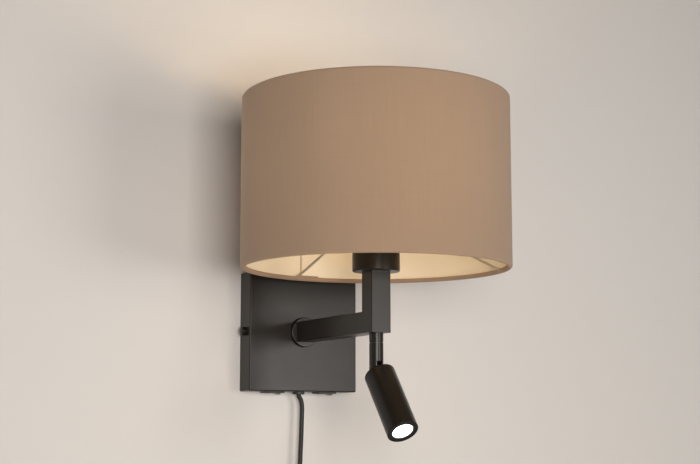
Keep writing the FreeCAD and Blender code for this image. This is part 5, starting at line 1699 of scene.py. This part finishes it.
@dataclass
class Lampholder:
    """The cup on the post, the holder and clamp ring in it, and the lit bulb."""

    base: float = 0.0462
    cup_radius: float = 0.022
    cup_tall: float = 0.0473
    cup_wall: float = 0.001
    cup_round: float = 0.0015
    nipple_hole: float = NIPPLE_HOLE
    flange_tall: float = 0.0025
    skirt_radius: float = 0.0197
    skirt_tall: float = 0.0115
    bore: float = 0.0146
    floor: float = 0.0605
    threads: int = 5
    thread_deep: float = 0.0006
    crest: tuple[float, float] = (0.35, 0.6)
    clamp_inside: float = 0.01975
    clamp_radius: float = 0.025
    clamp_low: float = 0.098
    clamp_tall: float = 0.006
    clamp_bevel: float = 0.0008
    notches: int = 12
    notch_radius: float = 0.0015
    notch_deep: float = 0.0012
    bulb_neck: float = 0.0137
    bulb_low: float = 0.089
    bulb_flare: float = 0.108
    bulb_band: float = 0.135
    bulb_middle: float = 0.138
    bulb_radius: float = 0.030
    flare_round: float = 0.005
    band_round: float = 0.003
    globe_wall: float = 0.0012

    def make_cup(self) -> Piece:
        """Draws the metal cup.

        Returns:
            The cup.
        """
        hole, outer, wall, tall = self.nipple_hole, self.cup_radius, self.cup_wall, self.cup_tall
        corners = [(hole, 0), (outer, 0, self.cup_round), (outer, tall, CRISP)]
        corners += [(outer - wall, tall, CRISP), (outer - wall, wall), (hole, wall)]
        cup = Bench.turned("holder_cup", corners, Facets.BROADER)
        return Bench.placed(cup, (0, DRUM_CENTRE[1], self.base))

    def make_holder(self) -> Piece:
        """Turns the holder with the thread of its skirt.

        Returns:
            The holder.
        """
        flange = self.base + self.cup_tall
        skirt = flange + self.flange_tall
        top = skirt + self.skirt_tall
        foot = self.base + 2 * self.cup_wall
        body, root = self.cup_radius - 2 * self.cup_wall, self.skirt_radius - self.thread_deep
        corners: list[Corner] = [(self.bore, self.floor), (self.bore, top, SOFT)]
        rise = self.skirt_tall / self.threads
        for number in range(self.threads):
            height = top - number * rise
            corners.append((root, height - FINE))
            corners += [(self.skirt_radius, height - rise * share, KEEN) for share in self.crest]
        corners += [
            (root, skirt + FINE),
            (self.cup_radius, skirt, EASED),
            (self.cup_radius, flange, EASED),
            (body, flange),
            (body, foot),
            (self.nipple_hole, foot),
            (self.nipple_hole, self.floor),
        ]
        holder = Bench.turned("holder_body", corners, Facets.BROAD, steps=2)
        return Bench.placed(holder, DRUM_CENTRE)

    def make_clamp_ring(self) -> Piece:
        """Turns the ring that clamps the shade, and files its grip notches.

        Returns:
            The ring.
        """
        low, high = self.clamp_low, self.clamp_low + self.clamp_tall
        rounds = (0, self.clamp_bevel, self.clamp_bevel, SOFT)
        corners = band(self.clamp_inside, self.clamp_radius, low, high, *rounds)
        ring = Bench.turned("shade_nut", corners, Facets.BROADER)
        reach = self.clamp_radius + self.notch_radius - self.notch_deep
        file = band(0, self.notch_radius, low - OVERRUN, high + OVERRUN)
        files = []
        for number in range(self.notches):
            files.append(Bench.turned("file", file, Facets.THINNER))
            angle = WHOLE_TURN * number / self.notches
            Bench.settle(files[-1], (reach * math.cos(angle), reach * math.sin(angle), 0))
        Bench.gather(*files)
        Bench.combine(ring, Join.CUT, files[0])
        return Bench.placed(ring, DRUM_CENTRE)

    def make_shell(self) -> Piece:
        """Turns the bulb's flared shell.

        Returns:
            The shell.
        """
        corners = [
            (0, self.bulb_low),
            (self.bulb_neck, self.bulb_low),
            (self.bulb_neck, self.bulb_flare, self.flare_round),
            (self.bulb_radius, self.bulb_band, self.band_round),
            (self.bulb_radius, self.bulb_middle, EASED),
            (0, self.bulb_middle),
        ]
        return Bench.placed(Bench.turned("bulb_shell", corners, Facets.BROAD, steps=6), DRUM_CENTRE)

    def make_globe(self) -> Piece:
        """Blows the opal globe on the bulb's shell.

        Returns:
            The globe.
        """
        middle = (0, 0, self.bulb_middle)
        Bench.let_go()
        around, radius = Facets.BROAD.value, self.bulb_radius
        bpy.ops.mesh.primitive_uv_sphere_add(
            segments=around, ring_count=around // 2, radius=radius, location=middle
        )
        globe = Bench.added("bulb_glass")
        Bench.settle(globe)
        Bench.open(globe)
        bpy.ops.mesh.select_all(action="SELECT")
        bpy.ops.mesh.bisect(plane_co=middle, plane_no=(0, 0, 1), clear_inner=True)
        Bench.tidy()
        Bench.close()
        Bench.finish(globe, "SOLIDIFY", thickness=self.globe_wall, offset=-1)
        return Bench.placed(globe, DRUM_CENTRE)

    def make(self) -> None:
        """Makes the holder and the bulb."""
        dressed(self.make_cup(), POWDER_COAT, Body.LAMP, "black_steel", "socket_cup")
        dressed(self.make_holder(), MATT_PLASTIC, Body.LAMP, "black_plastic", "lampholder_body")
        ring = self.make_clamp_ring()
        dressed(ring, MATT_PLASTIC, Body.LAMP, "black_plastic", "shade_clamp_ring")
        dressed(self.make_shell(), BULB_SHELL, Body.LAMP, "bulb_white", "bulb_body")
        dressed(self.make_globe(), OPAL_LIGHT, Body.LAMP, "opal", "bulb_globe")


# The drum shade


@dataclass
class DrumShade:
    """The cloth drum, its lining, and the wire spider that carries it."""

    radius: float = 0.125
    tall: float = 0.160
    base: float = 0.0485
    cloth: float = 0.001
    hem_inside: float = 0.120
    hem_tall: float = 0.004
    hem_round: float = 0.0023
    lap_rise: float = 0.0012
    lap_from: float = 90.0
    lap_to: float = 102.5
    seam_angle: float = 93.8
    seam_half: float = 4.5
    seam_thick: float = 0.0004
    seam_reach: float = 0.5
    lining_outside: float = 0.12395
    lining_thick: float = 0.0006
    lining_edge: float = 0.004
    lap_edge_shadow_angle: float = 98.6
    lap_edge_shadow_wide: float = 0.0009
    ring_inside: float = 0.0199
    ring_outside: float = 0.028
    ring_low: float = 0.096
    ring_thick: float = 0.002
    wire: float = 0.0012
    wire_steps: int = 4
    arm_route: tuple[Point, ...] = (
        (0.0265, 0.0, 0.097),
        (0.031, 0.0, 0.097),
        (0.036, 0.0, 0.0965),
        (0.041, 0.0, 0.091),
        (0.049, 0.0, 0.0845),
        (0.085, 0.0, 0.0672),
        (0.1215, 0.0, 0.0506),
    )
    arm_angles: tuple[float, ...] = (101.9, -14.0, -136.0)

    @staticmethod
    def angle(place: Vector) -> float:
        """Returns the angle of a place about the drum's axis, in degrees."""
        return math.degrees(math.atan2(place.y, place.x))

    def in_seam(self, place: Vector) -> bool:
        """Returns whether a place about the drum's axis lies in the lapped seam."""
        return abs(self.angle(place) - self.seam_angle) < self.seam_half

    @staticmethod
    def inwards(middle: Vector, normal: Vector, least: float) -> bool:
        """Returns whether a face looks at the drum's axis by more than a least amount."""
        return normal.to_2d().dot(middle.to_2d()) < -least

    @staticmethod
    def raise_picked(piece: Piece, wanted: Test, by: float) -> None:
        """Picks faces of the open mesh and extrudes them along their normals."""
        Bench.pick(piece, Part.FACE, wanted)
        bpy.ops.mesh.extrude_region_shrink_fatten(TRANSFORM_OT_shrink_fatten={"value": by})

    def make_cloth(self) -> Piece:
        """Stretches the cloth round the drum and rolls it over both hoops.

        Returns:
            The cloth, with its lapped seam at the back.
        """
        out, skin, top = self.radius, self.cloth, self.tall
        inner, roll, hem = self.hem_inside, self.hem_round, self.hem_tall
        back = inner + skin
        corners = [(out, 0, roll), (out, top, roll), (inner, top, roll)]
        corners += [(inner, top - hem, EASED), (back, top - hem, EASED), (back, top - skin)]
        corners += [(out - skin, top - skin), (out - skin, skin), (back, skin)]
        corners += [(back, hem, EASED), (inner, hem, EASED), (inner, 0, roll)]
        cloth = Bench.turned("drum_cloth", corners, Facets.BROADEST, steps=5)

        def on_outside(middle: Vector, normal: Vector) -> bool:
            """Returns whether a face lies in the seam on the drum's outside."""
            outer = middle.to_2d().length > out - skin / 2
            return self.in_seam(middle) and outer and abs(normal.z) < self.seam_reach

        def on_hems(middle: Vector, normal: Vector) -> bool:
            """Returns whether a face lies in the seam on the inner side of a hem."""
            hems = middle.to_2d().length < inner + skin / 4
            return self.in_seam(middle) and hems and self.inwards(middle, normal, 0)

        def on_lap(middle: Vector, normal: Vector) -> bool:
            """Returns whether a face is on top of the lower hem, in its lap."""
            low = middle.z < hem + MERGE and middle.to_2d().length < back
            return normal.z > FACING and low and self.lap_from < self.angle(middle) < self.lap_to

        Bench.open(cloth)
        for side in (on_outside, on_hems):
            self.raise_picked(cloth, side, self.seam_thick)
        Bench.pick(cloth, Part.FACE, on_lap)
        rise = {"value": (0, 0, self.lap_rise)}
        bpy.ops.mesh.extrude_region_move(TRANSFORM_OT_translate=rise)
        Bench.close()
        return Bench.placed(cloth, (0, DRUM_CENTRE[1], self.base), above=40)

    def make_lining(self) -> Piece:
        """Rolls the stiff lining and laps its two ends.

        Returns:
            The lining.
        """
        outside, thick, edge = self.lining_outside, self.lining_thick, self.lining_edge
        corners = band(outside - thick, outside, edge, self.tall - edge)
        lining = Bench.turned("drum_liner", corners, Facets.BROADEST)
        Bench.open(lining)
        self.raise_picked(
            lining, lambda m, normal: self.in_seam(m) and self.inwards(m, normal, MERGE), thick
        )
        Bench.close()
        return Bench.placed(lining, (0, DRUM_CENTRE[1], self.base))

    def make_lap_edge_and_shadow(self) -> Piece:
        """Cuts the strip that shows where the lining's end lies over its start: its bare cut edge,
        darkened as painted shadow along the lap's step.

        Returns:
            The strip, upright on the lining's inner face.
        """
        thick, half, end = self.lining_thick, self.lap_edge_shadow_wide / 2, self.lining_edge
        inside = self.lining_outside - thick
        low, high = (inside - thick, -half, end), (inside + thick / 2, half, self.tall - end)
        edge = Bench.block("lining_lap_edge_and_shadow", low, high)
        place = (0, DRUM_CENTRE[1], self.base)
        Bench.settle(edge, place, (0, 0, math.radians(self.lap_edge_shadow_angle)))
        return edge

    def make_ring(self) -> Piece:
        """Stamps the flat ring at the middle of the spider.

        Returns:
            The ring.
        """
        low, high = self.ring_low, self.ring_low + self.ring_thick
        corners = band(self.ring_inside, self.ring_outside, low, high, *[CRISP] * 4)
        return Bench.placed(Bench.turned("spider_plate", corners, Facets.BROAD), DRUM_CENTRE)

    def make_arms(self) -> list[Piece]:
        """Bends an arm and copies it round the drum's axis.

        Returns:
            The three arms.
        """
        first = Bench.curve("spider_wire_1", self.arm_route, self.wire, self.wire_steps)
        Bench.take(first)
        bpy.ops.object.convert(target="MESH")
        arms = [first] + [Bench.copied(first, "spider_wire_%d" % number) for number in (2, 3)]
        return [
            Bench.placed(arm, DRUM_CENTRE, (0, 0, math.radians(angle)))
            for arm, angle in zip(arms, self.arm_angles)
        ]

    def make(self) -> None:
        """Makes the cloth, the lining and the spider."""
        cloth = dressed(self.make_cloth(), CLOTH, Body.LAMP, "shade_cloth", "shade_fabric")
        dressed(self.make_lining(), LINING, Body.LAMP, "shade_lining", "shade_liner")
        dressed(self.make_lap_edge_and_shadow(), LINING_EDGE_AND_SHADOW, Body.LAMP, "shade_lining", "shade_liner")
        dressed(self.make_ring(), LACQUERED_WIRE, Body.LAMP, "pale_wire", "spider_ring")
        for arm in self.make_arms():
            dressed(arm, LACQUERED_WIRE, Body.LAMP, "pale_wire", "spider_arms")


# The reading light


@dataclass
class ReadingLight:
    """The reading light under the post: stem, swivel fork, pivot pin and tilted head."""

    reach: float = REACH
    stem_radius: float = 0.0065
    stem_top: float = -0.010
    stem_base: float = -0.0185
    stem_bevel: float = 0.0004
    swivel_hole: float = 0.0041
    fork_top: float = -0.0191
    pivot: float = -0.0401
    slot_half: float = 0.0026
    slot_top: float = 0.0045
    lug_half: float = 0.0025
    lug_radius: float = 0.0042
    pin_radius: float = 0.0015
    pin_half: float = 0.0062
    pin_gap: float = 0.00005
    tilt: float = 39.0
    head_radius: float = 0.0143
    head_inside: float = 0.0127
    spigot: float = 0.01265
    cap_back: float = -0.0095
    cap_front: float = -0.0125
    spigot_front: float = -0.0165
    cap_round: float = 0.001
    mouth_round: float = 0.00015
    front: float = -0.0765
    front_round: float = 0.0005
    bezel_back: float = -0.0719
    bezel_front: float = -0.0761
    bezel_clear: float = 0.0095
    bezel_seat: float = 0.01155
    lens_seat: float = -0.0753
    lens_back: float = -0.0729
    dome_share: float = 0.6

    def in_head(self, name: str, corners: Sequence[Corner]) -> Piece:
        """Turns a piece of the head from its half section, which hangs down from the pivot."""
        return self.tilted(Bench.turned(name, corners, Facets.BROADER))

    def tilted(self, piece: Piece) -> Piece:
        """Returns a piece of the head after tilting it and moving it to the pivot."""
        tilt = (-math.radians(self.tilt), 0, 0)
        return Bench.placed(piece, (0, -self.reach, self.pivot), tilt)

    def make_stem(self) -> Piece:
        """Turns the stem under the post."""
        corners = band(
            self.swivel_hole, self.stem_radius, self.stem_base, self.stem_top, 0, self.stem_bevel
        )
        return Bench.placed(Bench.turned("light_stem", corners), (0, -self.reach, 0))

    def cross_hole(self, half: float, height: float) -> Piece:
        """Makes the drill for the pivot pin's hole.

        Args:
            half: Half its length.
            height: Its height.

        Returns:
            The drill, across the lamp.
        """
        drill = Bench.turned("hole", band(0, self.pin_radius, -half, half), Facets.SLIM)
        Bench.settle(drill, (0, 0, height), Axis.RIGHT.value)
        return drill

    def make_fork(self) -> Piece:
        """Turns the fork, rounds its ears about the pivot and slots it.

        Returns:
            The fork.
        """
        radius, wide = self.stem_radius, 2 * self.stem_radius
        low, high = self.pivot - radius, self.fork_top
        fork = Bench.turned("light_fork", band(0, radius, low, high, 0, 0, EASED))
        ears = Bench.block("ears", (-wide, -radius, low), (wide, radius, high + radius))
        Bench.round_edges(
            ears,
            radius * NEARLY,
            lambda a, b: abs(a.x - b.x) > radius and max(a.z, b.z) < low + MERGE,
            steps=16,
        )
        Bench.combine(fork, Join.TRIM, ears)
        roof = self.pivot + self.slot_top
        corner, other = (-self.slot_half, -wide, low - radius), (self.slot_half, wide, roof)
        slot = Bench.block("slot", corner, other)
        Bench.combine(fork, Join.CUT, slot, self.cross_hole(wide, self.pivot))
        Bench.soften(fork, FINE, steps=2, above=40)
        return Bench.placed(fork, (0, -self.reach, 0))

    def make_pin(self) -> Piece:
        """Turns the pivot pin.

        Returns:
            The pin.
        """
        radius, half = self.pin_radius - self.pin_gap, self.pin_half
        pin = Bench.turned("pivot_rod", band(0, radius, -half, half, 0, EASED, EASED), Facets.SLIM)
        return Bench.placed(pin, (0, -self.reach, self.pivot), Axis.RIGHT.value)

    def make_tail_cap(self) -> Piece:
        """Turns the cap at the back of the head, with the lug that the pin goes through.

        Returns:
            The cap.
        """
        rim, spigot, end = self.head_radius, self.spigot, self.spigot_front
        corners = [(0, self.cap_back), (rim, self.cap_back, self.cap_round)]
        corners += [(rim, self.cap_front, self.mouth_round), (spigot, self.cap_front)]
        corners += [(spigot, end), (0, end)]
        cap = Bench.turned("head_cap", corners, Facets.BROADER)
        half, radius = self.lug_half, self.lug_radius
        low, high = (-half, -radius, self.cap_back - OVERRUN), (half, radius, radius)
        lug = Bench.block("lug", low, high)
        Bench.round_edges(
            lug,
            radius * NEARLY,
            lambda a, b: abs(a.x - b.x) > half and min(a.z, b.z) > radius - MERGE,
            steps=12,
        )
        Bench.combine(cap, Join.WELD, lug)
        Bench.combine(cap, Join.CUT, self.cross_hole(4 * half, 0))
        return self.tilted(cap)

    def make_casing(self) -> Piece:
        """Turns the casing tube.

        Returns:
            The casing.
        """
        rounds = (FINE, self.front_round, self.mouth_round)
        corners = band(self.head_inside, self.head_radius, self.front, self.cap_front, *rounds)
        return self.in_head("head_tube", corners)

    def make_bezel(self) -> Piece:
        """Turns the ring that holds the lens.

        Returns:
            The bezel.
        """
        front, back, seat = self.bezel_front, self.bezel_back, self.bezel_seat
        corners = [(self.bezel_clear, front, CRISP), (self.spigot, front, CRISP)]
        corners += [(self.spigot, back), (seat, back), (seat, self.lens_seat)]
        corners.append((self.bezel_clear, self.lens_seat))
        return self.in_head("lens_ring", corners)

    def make_lens(self) -> Piece:
        """Turns the lens, a little domed at its front.

        Returns:
            The lens.
        """
        edge, rim = self.bezel_clear - KEEN, self.bezel_seat - KEEN
        front, seat, back = self.bezel_front, self.lens_seat, self.lens_back
        corners = [(0, front + KEEN), (edge * self.dome_share, front + FINE)]
        corners.append((edge, front + SOFT, KEEN))
        corners += [(edge, seat), (rim, seat), (rim, back), (0, back)]
        return self.in_head("light_lens", corners)

    def make(self) -> None:
        """Makes the reading light from the stem to the lens."""
        dressed(self.make_stem(), POWDER_COAT, Body.LAMP, "black_steel", "spot_stem")
        dressed(self.make_fork(), POWDER_COAT, Body.SWIVEL, "black_steel", "swivel_fork")
        dressed(self.make_pin(), BLACK_ZINC, Body.SWIVEL, "plated_steel", "pivot_pin")
        for piece, node in (
            (self.make_tail_cap(), "spot_tail_cap"),
            (self.make_casing(), "spot_tube"),
            (self.make_bezel(), "lens_bezel"),
        ):
            dressed(piece, CASING_COAT, Body.SPOT, "black_aluminium", node)
        dressed(self.make_lens(), LENS_LIGHT, Body.SPOT, "clear", "spot_lens")


def dress_carried_over() -> None:
    """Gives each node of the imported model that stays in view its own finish."""
    for finish, names in CARRIED_OVER.items():
        for name in names:
            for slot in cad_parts[name].material_slots:
                slot.material = finish.material()
            log.info("%s kept: %s", name, finish.name)


def main() -> None:
    """Makes the room, the cord and each part of the lamp in turn."""
    logging.basicConfig(level=logging.INFO, format="%(name)s: %(message)s")
    for part in (
        Room(),
        MainsCord(),
        WallBox(),
        ArmAndPost(),
        Lampholder(),
        DrumShade(),
        ReadingLight(),
    ):
        part.make()
    dress_carried_over()


if __name__ == "__main__":
    main()
